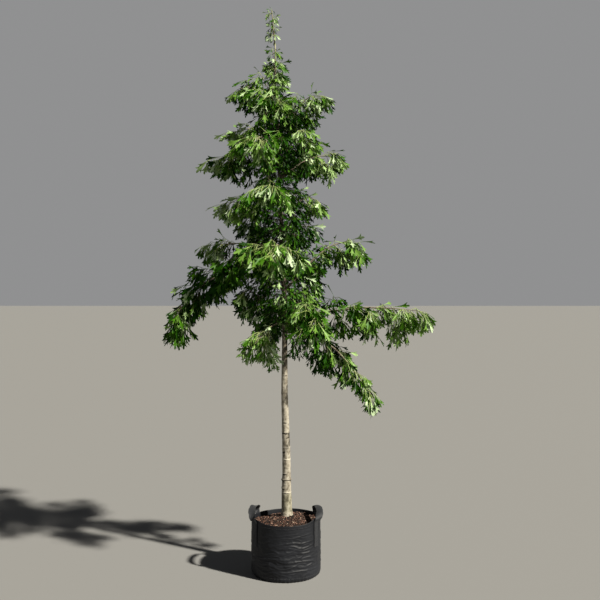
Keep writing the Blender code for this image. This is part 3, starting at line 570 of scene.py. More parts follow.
def plain_material(name, colour, roughness, grain, depth=0.0, spread=0.25):
    """A colour that wanders a little darker and lighter, with a fine grain."""
    made = Finish(name, roughness, 0.4)
    cloud = made.noise(made.place(), grain)
    made.mottle(cloud, colour, spread, (0.3, 0.7))
    if depth:
        made.bump(cloud, 0.6, depth)
    return made.owner


def bark_material():
    """Cream and grey plates, with lichen near the foot, browner and darker from under the crown up as
    painted shade of the crown, and green at the top.
    """
    made = Finish("oak_bark", 0.82, 0.3)
    patches = made.noise(made.place((1.0, 1.0, 0.7)), 62.0, 6.0, 0.66)
    height = made.height("Object")
    colour = made.ramp(patches, PALE_BARK)
    for low, high, tones in BARK_CHANGES:
        span = {"From Min": low, "From Max": high, "Value": height}
        share = made.add("MapRange", "Result", span, interpolation_type="SMOOTHSTEP")
        both = {"Factor": share, "A": colour, "B": made.ramp(patches, tones)}
        colour = made.add("Mix", "Result", both, data_type="RGBA")
    made.paint(colour)
    fine = made.noise(made.place((1.0, 1.0, 0.16)), 190.0, 5.0, 0.7)
    made.bump(made.join("ADD", patches, fine), 0.6, 0.0012)
    return made.owner


def leaf_material(name, colour, shine):
    made = Finish(name, LEAF_ROUGHNESS, shine)
    place = made.place()
    made.mottle(made.noise(place, 38.0, 3.0), colour, 0.2, (0.35, 0.65))
    made.bump(made.noise(place, 320.0, 2.0), 0.25, 0.0006)
    return made.owner


# ---- meshes
class Gathered:
    """Meshes gathered into one: points, faces, and the number of each face's finish."""

    def __init__(self):
        self.points = []
        self.faces = []
        self.kinds = []
        self.count = 0

    def add(self, points, faces, kind=0):
        start = self.count
        self.points.append(np.asarray(points, dtype=float))
        self.faces.extend(tuple(start + i for i in face) for face in faces)
        self.kinds.extend([kind] * len(faces))
        self.count += len(points)

    def add_tube(self, path, radii, sides):
        self.add(tube_points(path, radii, sides), ring_faces(len(path), sides))


def new_piece(name, shape, finishes, replaced=(), sharp=None):
    """Makes gathered meshes one object that rides on the plant, flat or smooth up to an angle."""
    mesh = bpy.data.meshes.new(name)
    mesh.from_pydata(np.concatenate(shape.points).tolist(), [], shape.faces)
    for finish in finishes:
        mesh.materials.append(finish)
    mesh.polygons.foreach_set("material_index", np.asarray(shape.kinds, dtype=np.int32))
    if sharp is None:
        mesh.shade_flat()
    else:
        mesh.shade_smooth()
        mesh.set_sharp_from_angle(angle=radians(sharp))
    obj = place_object(name, mesh)
    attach(obj, "root")
    if replaced:
        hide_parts(*replaced)


def ring_faces(rows, sides, caps=True):
    """Faces of a tube of rows of points, closed round, with both ends filled."""
    faces = []
    for low in range(0, (rows - 1) * sides, sides):
        high = low + sides
        for k in range(sides):
            n = (k + 1) % sides
            faces.append((low + k, low + n, high + n, high + k))
    if caps:
        faces.append(tuple(range(sides - 1, -1, -1)))
        faces.append(tuple(range((rows - 1) * sides, rows * sides)))
    return faces


def tube_points(path, radii, sides):
    """Points of a tube; radii has one number for each ring, or a row of them for each ring."""
    path = np.asarray(path, dtype=float)
    tangents = unit(np.gradient(path, axis=0))
    across = np.cross(tangents[0], UP3)
    if np.linalg.norm(across) < 0.1:
        across = np.array((1.0, 0.0, 0.0))
    one = []
    for tangent in tangents:
        across = across - tangent * np.dot(across, tangent)
        across = across / np.linalg.norm(across)
        one.append(across)
    one = np.array(one)
    two = np.cross(tangents, one)
    turn = np.linspace(0.0, tau, sides, endpoint=False)
    radii = np.asarray(radii, dtype=float)
    if radii.ndim == 1:
        radii = np.repeat(radii[:, None], sides, axis=1)
    ring = (one[:, None, :] * np.cos(turn)[None, :, None]
            + two[:, None, :] * np.sin(turn)[None, :, None])
    return (path[:, None, :] + ring * radii[:, :, None]).reshape(-1, 3)


def smooth_path(points, steps):
    """Points read from a smooth curve that passes through the given ones."""
    given = [np.array(point, dtype=float) for point in points]
    padded = [2 * given[0] - given[1], *given, 2 * given[-1] - given[-2]]
    out = []
    for a, b, c, d in zip(padded, padded[1:], padded[2:], padded[3:]):
        for i in range(steps):
            t = i / steps
            out.append(0.5 * (2 * b + (c - a) * t + (2 * a - 5 * b + 4 * c - d) * t * t
                              + (3 * b - a - 3 * c + d) * t ** 3))
    out.append(given[-1])
    return np.array(out)


# ---- view, light and floor
def place_object(name, data):
    made = bpy.data.objects.new(name, data)
    bpy.context.scene.collection.objects.link(made)
    return made


def make_camera():
    data = bpy.data.cameras.new("camera")
    data.lens = CAMERA_LENS
    camera = place_object("camera", data)
    camera.location = CAMERA_AT
    camera.rotation_euler = (pi / 2, 0.0, 0.0)
    bpy.context.scene.camera = camera


def make_lights():
    data = bpy.data.lights.new("sun", "SUN")
    data.energy = SUN_STRENGTH
    data.angle = SUN_SOFTNESS
    data.color = SUN_COLOUR
    sun = place_object("sun", data)
    sun.rotation_mode = "QUATERNION"
    sun.rotation_quaternion = SUN_FROM.to_track_quat("Z", "Y")
    dome = NodeKit(bpy.data.worlds.new("studio_dome"))
    dome.feed(dome.tree.nodes["Background"], {"Color": dome.ramp(dome.height("Generated"), DOME)})
    bpy.context.scene.world = dome.owner
    bpy.context.scene.view_settings.view_transform = "Standard"


def make_floor():
    half = FLOOR_SIZE / 2
    mesh = bpy.data.meshes.new("floor")
    corners = [(-half, -half, 0.0), (half, -half, 0.0), (half, half, 0.0), (-half, half, 0.0)]
    mesh.from_pydata(corners, [], [(0, 1, 2, 3)])
    made = Finish("pale_floor", 0.9, 0.2)
    made.paint((*FLOOR_COLOUR, 1.0))
    mesh.materials.append(made.owner)
    place_object("floor", mesh)


# ---- bag
def bag_radius(height):
    """Outside radius of the bag: rounded below, a little fuller at mid height."""
    plain = BAG_RADIUS - MID_SWELL
    if height < BAG_CORNER:
        part = 1.0 - height / BAG_CORNER
        turn = 1.0 - sqrt(1.0 - part * part)
        return plain - (plain - BAG_FOOT_RADIUS) * turn
    return plain + MID_SWELL * sin(pi * height / BAG_HEIGHT)


def bag_place(angle, radius, height):
    """A point of the turned bag moved to the soft bag's real outline."""
    low = clamp(height / BAG_HEIGHT)
    lobes = low * sin(3 * angle + 0.6) * sin(pi * low * 0.9)
    radius = radius * (1.0 + LOBE_SWELL * lobes)
    dip = RIM_SAG * max(0.0, cos(angle - RIM_SAG_SIDE)) * low ** 4
    pull = max(0.0, (low - RIM_LIFT_FROM) / (1.0 - RIM_LIFT_FROM)) ** 1.5
    lift = sum(rise * bell(turn_from(side, angle) / spread) for side, spread, rise in RIM_LIFTS)
    return (radius * cos(angle), radius * sin(angle), height + lift * pull - dip)


def wrinkle_share(angle, height):
    share = WRINKLE_BASE
    for side, middle, along, up, strength in WRINKLE_SPOTS:
        away = turn_from(radians(side), angle) * BAG_RADIUS / along
        share += strength * bell(away) * bell((height - middle) / up)
    return min(1.0, share) * min(1.0, height / WRINKLE_FOOT)


def wrinkles(angle, height):
    """Long, wavy, nearly level folds, where a wandering value stretched along the wall is zero."""
    x = cos(angle)
    y = sin(angle)
    level = (height + wave(x, y, height, WRINKLE_BEND)) * WRINKLES_UP
    total = 0.0
    for depth, stretch, scale, seed, sharpness in FOLDS:
        value = wander(x * stretch, y * stretch, level, scale, seed)
        total += depth * (bell(value * sharpness) - FOLD_MIDDLE)
    return total * wrinkle_share(angle, height)


def strap_cover(angle, height):
    """How near a wall point is to a strap's leg: 1 under it, 0 well away."""
    above = height - STRAP_FOOT + STRAP_COVER_BELOW
    if above < 0.0:
        return 0.0
    nearest = min(abs(sin((angle - leg) / 2)) * 2 for leg in LEGS)
    beside = nearest * BAG_RADIUS - STRAP_WIDTH / 2
    return (1.0 - clamp(beside / STRAP_COVER_BESIDE)) * clamp(above / STRAP_COVER_OVER)


def pucker(angle, height):
    """Soft upright puckers beside the straps' legs, strongest near the rim."""
    total = 0.0
    for leg in LEGS:
        away = turn_from(leg, angle) * BAG_RADIUS
        total += sum(bell((away - off) / PUCKER_WIDTH) for off in PUCKER_PLACES)
    return -PUCKER_DEPTH * total * clamp((height - PUCKER_FROM) / PUCKER_RISE)


def wall_relief(angle, height):
    """How far the wall stands out from the plain bag at a point."""
    x = cos(angle) * BAG_RADIUS
    y = sin(angle) * BAG_RADIUS
    low = height / BAG_HEIGHT
    total = wave(x, y, height, SOFT_WAVES) * (1.0 - low ** 6) + wave(x, y, height, SMALL_WAVES)
    uneven = 3 * wander(x, y, 0.0, 20.0)
    total += GATHER_DEPTH * sin(angle * GATHERS + uneven) * exp(-height / GATHER_HEIGHT)
    calm = 1.0 - CALM * clamp((low - CALM_FROM) / CALM_OVER)
    total += wrinkles(angle, height) * calm + pucker(angle, height)
    if height > BAG_HEIGHT - HEM_DEPTH:
        total += HEM_STEP
    cover = strap_cover(angle, height)
    return total * (1.0 - cover) + COVERED_WALL * cover


def wall_point(angle, height):
    """A point on the finished wall of the bag."""
    return bag_place(angle, bag_radius(height) + wall_relief(angle, height), height)


def make_bag():
    angles = np.linspace(-pi, pi, BAG_COLUMNS, endpoint=False)
    corner = BAG_CORNER * (1.0 - np.cos(np.linspace(0.0, pi / 2, CORNER_ROWS)))
    heights = [*corner[:-1], *np.linspace(BAG_CORNER, BAG_HEIGHT - RIM_TOP, BAG_ROWS)]
    points = [wall_point(angle, height) for height in heights for angle in angles]
    top = heights[-1]
    for inward, over in RIM_ROWS:
        for angle in angles:
            out = wall_relief(angle, top) * exp(over / RIM_RELIEF_REACH)
            lip = sum(depth * sin(angle * count + start) for depth, count, start in RIM_WAVES)
            lip *= exp(-abs(over) / RIM_WAVE_REACH)
            points.append(bag_place(angle, bag_radius(BAG_HEIGHT) + out - inward, top + over + lip))
    points += [bag_place(angle, BAG_FOOT_RADIUS - BAG_WALL, BAG_WALL) for angle in angles]
    faces = ring_faces(len(points) // BAG_COLUMNS, BAG_COLUMNS, caps=False)
    last = len(points) - BAG_COLUMNS
    middle_out = len(points)
    middle_in = middle_out + 1
    points += [(0.0, 0.0, 0.0), (0.0, 0.0, BAG_WALL)]
    for k in range(BAG_COLUMNS):
        n = (k + 1) % BAG_COLUMNS
        faces.append((middle_out, n, k))
        faces.append((middle_in, last + k, last + n))
    shell = Gathered()
    shell.add(points, faces)
    new_piece("bag_shell", shell, [bag_material()], ("bag",), 60)


# ---- straps and stitches
def add_stitch(gathered, start, end, outward):
    """One thread stitch that rises from the cloth between its two holes."""
    low = -outward * STITCH_RADIUS * 0.6
    high = outward * STITCH_RADIUS * 0.8
    path = [start + low, start + (end - start) * 0.12 + high, (start + end) / 2 + high * 1.4,
            end + (start - end) * 0.12 + high, end + low]
    slim = STITCH_RADIUS * 0.6
    gathered.add_tube(path, [slim, STITCH_RADIUS, STITCH_RADIUS, STITCH_RADIUS, slim], 5)


def sew_bag(gathered):
    """A row of stitches under the rim's hem, and one where the wall meets the base."""
    step = tau / STITCHES_ROUND
    for height in STITCH_ROWS:
        for i in range(STITCHES_ROUND):
            angle = i * step
            if strap_cover(angle, height) > 0.01:
                continue
            ends = [np.array(wall_point(angle + step * part, height)) for part in (0.0, STITCH_PART)]
            add_stitch(gathered, *ends, level_axes(angle)[0])


def strap_leg(angle, turned):
    """Centres of a leg from its foot up, flat on the wall, with the width direction along it."""
    outward, along_wall = level_axes(angle)
    out = BAG_RADIUS + STRAP_OFF + STRAP_THICK / 2
    heights = np.linspace(STRAP_FOOT, STRAP_LEG_TOP, 4)
    return [outward * out + UP3 * height for height in heights], [along_wall * turned] * len(heights)


def strap_path():
    """Centres and width directions along the right-hand strap, from front foot to back foot."""
    front, front_widths = strap_leg(STRAP_FRONT_LEG, 1)
    back, back_widths = strap_leg(STRAP_BACK_LEG, -1)
    outward = np.array((1.0, 0.0, 0.0))
    widths = []
    for i, (_, turn) in enumerate(STRAP_LOOP):
        near = front_widths[0] if i < len(STRAP_LOOP) / 2 else back_widths[0]
        widths.append(unit(near * (1 - turn) + outward * turn))
    centres = front + [centre for centre, _ in STRAP_LOOP] + back[::-1]
    widths = front_widths + widths + back_widths[::-1]
    return smooth_path(centres, STRAP_STEPS), unit(smooth_path(widths, STRAP_STEPS))


def add_strap(gathered, side):
    """One strap of ribbed webbing, bent to the wall at its legs and arched over its loop."""
    mirror = np.array((side, 1.0, 1.0))
    path, widths = (line * mirror for line in strap_path())
    tangents = unit(np.gradient(path, axis=0))
    widths = unit(widths - tangents * (widths * tangents).sum(axis=1, keepdims=True))
    thick = np.cross(tangents, widths)
    across = np.sin(np.linspace(-pi / 2, pi / 2, STRAP_COLUMNS))
    body = STRAP_THICK / 2 * (1.0 - np.abs(across) ** 10) ** 0.5
    body = body + STRAP_RIB_DEPTH * np.cos(across * pi * STRAP_RIBS) * (1.0 - across ** 8)
    across = across[:, None]
    rows = []
    last = len(path) - 1
    for i, centre in enumerate(path):
        on_wall = clamp((STRAP_LEG_TOP + 0.012 - centre[2]) / 0.02)
        outward = np.array((centre[0], centre[1], 0.0))
        bend = -outward / np.linalg.norm(outward) * on_wall / (2 * BAG_RADIUS)
        curl = bend[None, :] * (across * STRAP_WIDTH / 2) ** 2
        curl = curl + thick[i] * (STRAP_CROWN * (1.0 - on_wall) * (across ** 2 - 0.35))
        uneven = 0.0007 * sin(i * 0.37 + side) + 0.0005 * sin(i * 0.83)
        flat = centre + widths[i] * (across * (STRAP_WIDTH / 2 + uneven)) + curl
        full = min(1.0, 0.55 + 0.25 * min(i, last - i))
        rise = thick[i] * (body * full)[:, None]
        rows.append(np.concatenate((flat + rise, (flat - rise)[::-1][1:-1])))
    faces = ring_faces(len(rows), len(rows[0]))
    if side < 0:
        faces = [face[::-1] for face in faces]
    gathered.add(np.concatenate(rows), faces)


def leg_point(leg, across, height):
    """A point on the outer face of a strap's leg."""
    outward, sideways = level_axes(leg)
    out = BAG_RADIUS + STRAP_OFF + STRAP_THICK - across ** 2 / (2 * BAG_RADIUS)
    return outward * out + sideways * across + UP3 * height


def sew_straps(gathered):
    """Each leg is sewn down in a box with a bar and a cross in it."""
    low = STRAP_FOOT + 0.006
    high = STRAP_LEG_TOP - 0.02
    middle = (low + high) / 2
    edge = STRAP_WIDTH / 2 - STITCH_INSET
    lines = (
        (-edge, low, -edge, high), (edge, low, edge, high), (-edge, low, edge, low),
        (-edge, high, edge, high), (-edge, middle, edge, middle), (-edge, low, edge, middle),
        (edge, low, -edge, middle),
    )
    for leg in LEGS:
        for x0, z0, x1, z1 in lines:
            count = max(2, int(hypot(x1 - x0, z1 - z0) / STITCH_STEP))
            for i in range(count):
                shares = ((i + 0.1) / count, (i + 0.8) / count)
                ends = [leg_point(leg, x0 + (x1 - x0) * share, z0 + (z1 - z0) * share)
                        for share in shares]
                add_stitch(gathered, *ends, level_axes(leg)[0])


def make_straps():
    webbing = webbing_material()
    for name, side, node in (("strap_left", -1, "handle_left"), ("strap_right", 1, "handle_right")):
        strap = Gathered()
        add_strap(strap, side)
        new_piece(name, strap, [webbing], (node,), 50)
    thread = Gathered()
    sew_bag(thread)
    sew_straps(thread)
    finish = plain_material("black_thread", THREAD_COLOUR, 0.55, 900.0)
    new_piece("stitching", thread, [finish], sharp=60)


# ---- soil
def soil_height(x, y):
    """Height of the compost: a low crown at the stem, lumps, and a sunken place at the wall."""
    reach = hypot(x, y - TRUNK_LINE[0][2] * 0.5)
    height = np.interp(reach, SOIL_RADII, SOIL_HEIGHTS)
    from_dip = hypot(x - SOIL_DIP[0], y - SOIL_DIP[1]) / SOIL_DIP_REACH
    height -= SOIL_DIP_DEPTH * bell(from_dip)
    return height + wave(x, y, 0.0, *SOIL_LUMPS)


def make_soil():
    angles = [tau * i / SOIL_COLUMNS for i in range(SOIL_COLUMNS)]
    inner = bag_radius(SOIL_EDGE) - BAG_WALL + 0.0008
    points = []
    for ring in range(SOIL_RINGS + 1):
        reach = min(inner * (ring + 0.02) / SOIL_RINGS, inner)
        for angle in angles:
            x, y, _ = bag_place(angle, reach, SOIL_EDGE)
            points.append((x, y, soil_height(x, y)))
    for height in SOIL_SIDE_HEIGHTS:
        reach = BAG_FOOT_RADIUS if height < BAG_CORNER else bag_radius(height)
        points += [bag_place(angle, reach - BAG_WALL - SOIL_GAP, height) for angle in angles]
    rows = len(points) // SOIL_COLUMNS
    soil = Gathered()
    soil.add(points, [face[::-1] for face in ring_faces(rows, SOIL_COLUMNS)])
    earth = plain_material("bark_compost", COMPOST_COLOUR, 0.95, 170.0, 0.002, 0.6)
    new_piece("compost", soil, [earth], ("root_ball",), 60)


def make_chips():
    """Flat, broken bark chips that lie on the compost, a few of them pale."""
    rng = random.Random("bark chips")
    names, colours, weights = zip(*CHIP_KINDS)
    chips = Gathered()
    foot_x, foot_y, foot_radius = TRUNK_LINE[0][1:]
    for _ in range(CHIP_COUNT):
        kind = rng.choices(range(len(names)), weights)[0]
        length = rng.uniform(*CHIP_LENGTHS) * (CREAM_CHIP_SIZE if kind == CREAM_CHIP else 1.0)
        reach = (bag_radius(SOIL_EDGE) - BAG_WALL - 0.004 - length / 2) * sqrt(rng.random())
        angle = rng.uniform(0, tau)
        x = reach * cos(angle)
        y = reach * sin(angle)
        if hypot(x - foot_x, y - foot_y) >= foot_radius + length * 0.2:
            add_chip(chips, rng, (x, y, soil_height(x, y)), length, kind)
    finishes = [plain_material(name, colour, 0.9, 210.0, 0.001, 0.35)
                for name, colour in zip(names, colours)]
    new_piece("bark_chips", chips, finishes)


def add_chip(gathered, rng, place, length, kind):
    sides = rng.choice(CHIP_SIDES)
    width = length * rng.uniform(*CHIP_WIDTHS)
    thick = length * rng.uniform(*CHIP_THICKNESSES)
    turn = [tau * (i + rng.uniform(-0.25, 0.25)) / sides for i in range(sides)]
    rim = [(cos(a) * length / 2 * rng.uniform(0.8, 1.1), sin(a) * width / 2) for a in turn]
    points = [(x, y, -thick / 2) for x, y in rim]
    points += [(x * 0.86, y * 0.82, thick / 2 + rng.uniform(-0.0005, 0.0005)) for x, y in rim]
    yaw = rng.uniform(0, tau)
    tilt = rng.gauss(0.0, 0.35)
    roll = rng.gauss(0.0, 0.3)
    turned = np.array(points) @ np.array(Euler((roll, tilt, yaw)).to_matrix()).T
    lift = thick * 0.5 + abs(sin(tilt)) * length * 0.28
    gathered.add(turned + np.array(place) + UP3 * lift, ring_faces(2, sides), kind)


# ---- trunk
def trunk_at(height):
    """(centre, radius) of the trunk at a height."""
    heights, *lines = zip(*TRUNK_LINE)
    x, y, radius = (float(np.interp(height, heights, line)) for line in lines)
    return Vector((x, y, height)), radius


def scar_share(scar, angle):
    if scar.side is None:
        return 0.75 + 0.25 * sin(2 * angle + scar.height * 40)
    return bell(turn_from(radians(scar.side), angle) / SCAR_SPREAD)


def dark_line(scar, angle, z):
    """How dark a scar's own line, a dark mark with painted shade under the scar, is at a place: 1 in
    its middle, 0 away from it.
    """
    if not scar.dark:
        return 0.0
    x, y = cos(angle), sin(angle)
    uneven = 0.0018 * wander(x, y, scar.height * 9, 3.2)
    lean = scar.slope * 0.012 * sin(angle + pi / 2 + 0.4)
    away = (z - scar.height + DARK_BELOW * scar.half - uneven - lean) / (0.0022 * scar.dark + 0.0008)
    broken = 0.75 + 0.9 * wander(x, y, scar.height * 31, 2.6, 5.0)
    return scar_share(scar, angle) * min(1.0, scar.dark) * broken * bell(away)


def trunk_relief(angle, x, y, z):
    """Bark relief on the trunk: plates, shallow splits, the foot's flare, and scars."""
    total = wave(x, y, z, *PLATES)
    total -= SPLIT_DEPTH * max(0.0, 1.0 - abs(wave(x, y, z, SPLITS)) / SPLIT_WIDTH)
    flare = FLARE_DEPTH * exp(-(z - TRUNK_BASE) / FLARE_REACH)
    total += flare * (0.6 + 0.4 * sin(3 * angle + 1.2))
    for scar in SCARS:
        away = (z - scar.height) / scar.half
        if abs(away) < 3:
            total += scar_share(scar, angle) * scar.lift * bell(away)
            total -= DARK_DEPTH * dark_line(scar, angle, z)
    return total


def bark_kind(angle, z):
    """0 for plain bark, 1 in a dark line of mark and painted shade, 2 on the pale skin of a ring."""
    for scar in SCARS:
        away = abs(z - scar.height)
        if away > SCAR_NEAR:
            continue
        if dark_line(scar, angle, z) > DARK_FROM:
            return 1
        uneven = 1.0 + 0.8 * wander(cos(angle), sin(angle), z * 30, 3.0, 60.0)
        if scar.side is None and scar.lift > PALE_LIFT and away < scar.half * 0.7 * uneven:
            return 2
    return 0


def make_trunk(finishes):
    low = np.linspace(TRUNK_BASE, TRUNK_FINE_TO, TRUNK_LOW_ROWS)
    high = np.linspace(TRUNK_FINE_TO, TRUNK_LINE[-1][0], TRUNK_HIGH_ROWS)
    heights = [*low, *high[1:]]
    turn = np.linspace(0.0, tau, TRUNK_SIDES, endpoint=False)
    points = []
    for z in heights:
        (x, y, _), radius = trunk_at(z)
        slim = min(1.0, radius / FULL_BARK)
        for angle in turn:
            along_x, along_y = cos(angle), sin(angle)
            relief = trunk_relief(angle, x + radius * along_x, y + radius * along_y, z)
            out = radius + slim * relief
            points.append((x + out * along_x, y + out * along_y, z))
    trunk = Gathered()
    trunk.add(points, ring_faces(len(heights), TRUNK_SIDES))
    trunk.kinds = [bark_kind(angle, z) for z in heights[:-1] for angle in turn]
    trunk.kinds += [bark_kind(turn[k], heights[-1]) for k in range(2)]
    new_piece("trunk_bark", trunk, finishes, ("trunk",), 50)


# ---- limbs and their twigs
class Course:
    """A limb's centre line, by the share of its way from trunk to tip."""

    def __init__(self, limb):
        self.start = trunk_at(limb.height)[0]
        self.tip = Vector(limb.tip)
        run = self.tip - self.start
        level = Vector((run.x, run.y, 0.0)).normalized()
        pull = run.length * LIMB_PULL
        rise = radians(limb.rise)
        fall = radians(limb.fall)
        self.length = run.length
        self.first = self.start + (level * cos(rise) + UP * sin(rise)) * pull
        self.second = self.tip - (level * cos(fall) - UP * sin(fall)) * pull

    def at(self, share):
        left = 1.0 - share
        return (self.start * left ** 3 + self.first * 3 * left * left * share
                + self.second * 3 * left * share * share + self.tip * share ** 3)

    def heading(self, share):
        ahead = self.at(min(share + HEADING_STEP, 1.0))
        return (ahead - self.at(share - HEADING_STEP)).normalized()


def add_limb(gathered, limb):
    """One tapering tube from inside the trunk to the end of the limb's stem."""
    course = Course(limb)
    steps = max(12, int(course.length / LIMB_RING_GAP))
    trunk_radius = trunk_at(limb.height)[1]
    path = []
    radii = []
    for i in range(steps + 1):
        share = STEM_END * i / steps
        spot = course.at(share)
        loose = LIMB_SWAY * limb.radius * sin(pi * min(1.0, share * 1.2))
        path.append(spot + Vector([wander(*spot, 14.0, seed) for seed in SWAY_SEEDS]) * loose)
        along = share * course.length
        full = 1.0 + COLLAR * exp(-max(0.0, along - trunk_radius) / COLLAR_REACH)
        full += KNUCKLE * max(0.0, sin(along / KNUCKLE_GAP * tau)) ** 6
        radius = limb.radius + (TWIG_TIP_RADIUS - limb.radius) * share ** LIMB_TAPER
        radii.append([radius * full + 0.00045 * wander(spot.x + k, spot.y, spot.z, 60.0)
                      for k in range(LIMB_SIDES)])
    gathered.add_tube(path, radii, LIMB_SIDES)


def make_limbs(bark, foliage_nodes):
    limbs = Gathered()
    for limb in LIMBS:
        add_limb(limbs, limb)
    boughs = [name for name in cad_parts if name.startswith("bough_")]
    new_piece("limb_bark", limbs, [bark], (*boughs, *foliage_nodes), 60)


def aside(heading, roll, ahead, across, down, flatness=1.0):
    """A direction that turns off a heading to one side, by shares ahead, across and down."""
    side = heading.cross(UP)
    if side.length < 0.05:
        side = heading.cross(Vector((0.0, 1.0, 0.0)))
    side.normalize()
    over = side.cross(heading).normalized()
    sideways = side * cos(roll) + over * sin(roll) * flatness
    return (heading * ahead + sideways * across - UP * down).normalized()


Twig = namedtuple("Twig", "base heading length")


def plan_twigs(limb, course, rng):
    """The seeded rule: twigs turn by the golden angle up the stem, longest before mid way."""
    gap = BARE_STRETCH.get(limb.name, NO_GAP)
    twigs = []
    roll = rng.uniform(0.0, tau)
    for i in range(limb.twigs):
        leafy = (i + TWIG_FIRST) / limb.twigs
        if gap[0] < leafy < gap[1]:
            leafy = gap[1] + 0.02
        roll += GOLDEN_ANGLE
        share = limb.bare + (1.0 - limb.bare) * min(leafy, STEM_END)
        late = max(0.0, leafy - TWIG_FORWARD_FROM)
        forward = TWIG_FORWARD + TWIG_FORWARD_GAIN * late
        direction = aside(course.heading(share), roll, forward, TWIG_ACROSS, TWIG_DROOP * limb.leaf,
                          TWIG_FLATNESS)
        swell = TWIG_SHORTEST + (1.0 - TWIG_SHORTEST) * sin(pi * leafy ** TWIG_PEAK)
        swell *= 1.0 - TIP_SLIM * late / (1.0 - TWIG_FORWARD_FROM)
        length = limb.spread * swell * rng.uniform(*TWIG_LENGTHS)
        twigs.append(Twig(course.at(share), direction, length))
    for leafy, direction, length in OWN_TWIGS.get(limb.name, ()):
        share = limb.bare + (1.0 - limb.bare) * leafy
        twigs.append(Twig(course.at(share), Vector(direction).normalized(), length))
    return twigs


# ---- leaves and shoots
def leaf_template():
    """(points, faces) of a wedge-shaped oak leaf with three lobes at its broad end.

    It lies along X from its stalk, one unit long, and Y is how far a point is from the midrib.
    """
    points = [(u, 0.0) for u in LEAF_MIDDLE] + [*LEAF_EDGE] + [(u, -v) for u, v in LEAF_EDGE]
    faces = []
    for first, order in ((6, 1), (13, -1)):
        side = [(k, k + 1, first + k + 1, first + k) for k in range(3)]
        side += [(3, first + 5, first + 4, first + 3), (3, 4, first + 5), (4, 5, first + 6, first + 5)]
        faces += [face[::order] for face in side]
    return np.array(points), faces


LEAF_POINTS, LEAF_FACES = leaf_template()


def add_leaf(leaves, ribs, root, direction, facing, length, rng):
    """One leaf with its raised midrib and stalk."""
    out = facing - direction * np.dot(facing, direction)
    out = out / np.linalg.norm(out)
    axes = np.array((direction, np.cross(out, direction), out))
    droop, fold, twist, broad = (rng.uniform(*span) for span in LEAF_SPANS)

    def shaped(along, across):
        lift = fold * np.abs(across) - droop * along ** 2 + twist * along * across
        bent = np.stack((along - 0.35 * droop * along ** 2, across, lift), axis=1)
        return (bent * length) @ axes + root

    leaves.add(shaped(LEAF_POINTS[:, 0], LEAF_POINTS[:, 1] * broad), LEAF_FACES)
    rib = shaped(np.array(RIB_AT), np.zeros(len(RIB_AT)))
    ribs.add_tube(rib, np.array(RIB_RADII) * length, 3)


def crown_edge(place, reach):
    """0 deep in the crown, 1 at its edge; and how much sun the leaves there get."""
    centre = trunk_at(place.z)[0]
    x = place.x - centre.x
    y = place.y - centre.y
    away = hypot(x, y) - INNER_REACH
    sunny = SHADY_SHARE + (1.0 - SHADY_SHARE) * (0.5 + 0.5 * cos(atan2(y, x) - SUNNY_SIDE))
    top = clamp((place.z - TOP_FROM) / TOP_OVER)
    edge = max(top, min(1.0, away / (OUTER_REACH - INNER_REACH)))
    return edge, max(top, min(1.0, away / (reach - INNER_REACH))) * sunny


def pick_colour(sun, rng):
    """Darker greens near the trunk as painted shade, lighter and fresher ones towards the crown's
    sunny edge as painted sunlight.
    """
    weights = [max(0.0, green.inner + (green.outer - green.inner) * sun)
               for green in LEAF_COLOURS.values()]
    return rng.choices(list(LEAF_COLOURS), weights)[0]


# What a limb's shoots share: their random draws, leaf size, outer reach and the gain on the sunlight
# painted into their greens.
Habit = namedtuple("Habit", "rng size reach freshness")


class Foliage:
    """Leaves in a few greens, with their ribs and the finer twigs that carry them."""

    def __init__(self):
        self.leaves = {name: Gathered() for name in LEAF_COLOURS}
        self.ribs = (Gathered(), Gathered())  # older ones in painted shade and young ones in painted sunlight, and so are the twigs
        self.twigs = (Gathered(), Gathered())

    def shoot(self, habit, base, heading, length, leaves, radius=SHOOT_RADIUS):
        """A short shoot that droops a little, with leaves along it and a cluster at its end."""
        rng = habit.rng
        sag = rng.uniform(*SHOOT_SAGS)
        path = []
        radii = []
        for i in range(SHOOT_STEPS + 1):
            share = i / SHOOT_STEPS
            path.append(base + heading * (length * share) - UP * (length * sag * share * share))
            radii.append(radius + (SHOOT_TIP_RADIUS - radius) * i / SHOOT_STEPS)
        edge, sun = crown_edge(path[-1], habit.reach)
        # The shoot's painted sunlight: it makes its greens, ribs and twig paler and lighter where lit,
        # darker where shaded.
        sun = min(MOST_PAINTED_SUN, sun * habit.freshness)
        young_and_sunlit = sun > YOUNG_AND_SUNLIT_FROM
        self.twigs[young_and_sunlit].add_tube(path, radii, 5)
        main_colour = pick_colour(sun, rng)
        full_length = LEAF_LENGTH * habit.size * (INNER_LEAF + (1.0 - INNER_LEAF) * edge)
        roll = rng.uniform(0.0, tau)
        for number in range(leaves):
            share = min(1.0, TUFT_FROM + TUFT_RISE * number / max(1, leaves - 1))
            at = share * SHOOT_STEPS
            low = min(int(at), SHOOT_STEPS - 1)
            root = path[low].lerp(path[low + 1], at - low)
            roll += GOLDEN_ANGLE
            hang = rng.uniform(*LEAF_HANG) * (1.0 + LEAF_HANG_GAIN * edge)
            forward = LEAF_FORWARD if share < 0.95 else LEAF_FORWARD * END_FORWARD
            direction = aside(heading, roll, forward, LEAF_SPREAD, hang, SHOOT_FLATNESS)
            yaw = rng.uniform(0.0, tau)
            facing = np.array((cos(yaw) + LEAF_TURN[0], sin(yaw) + LEAF_TURN[1],
                               rng.uniform(*LEAF_FACE_UP)))
            stray = rng.random() < STRAY_LEAVES
            colour = pick_colour(sun, rng) if stray else main_colour
            add_leaf(self.leaves[colour], self.ribs[young_and_sunlit], np.array(root), np.array(direction),
                     facing, full_length * rng.uniform(*LEAF_SIZES), rng)


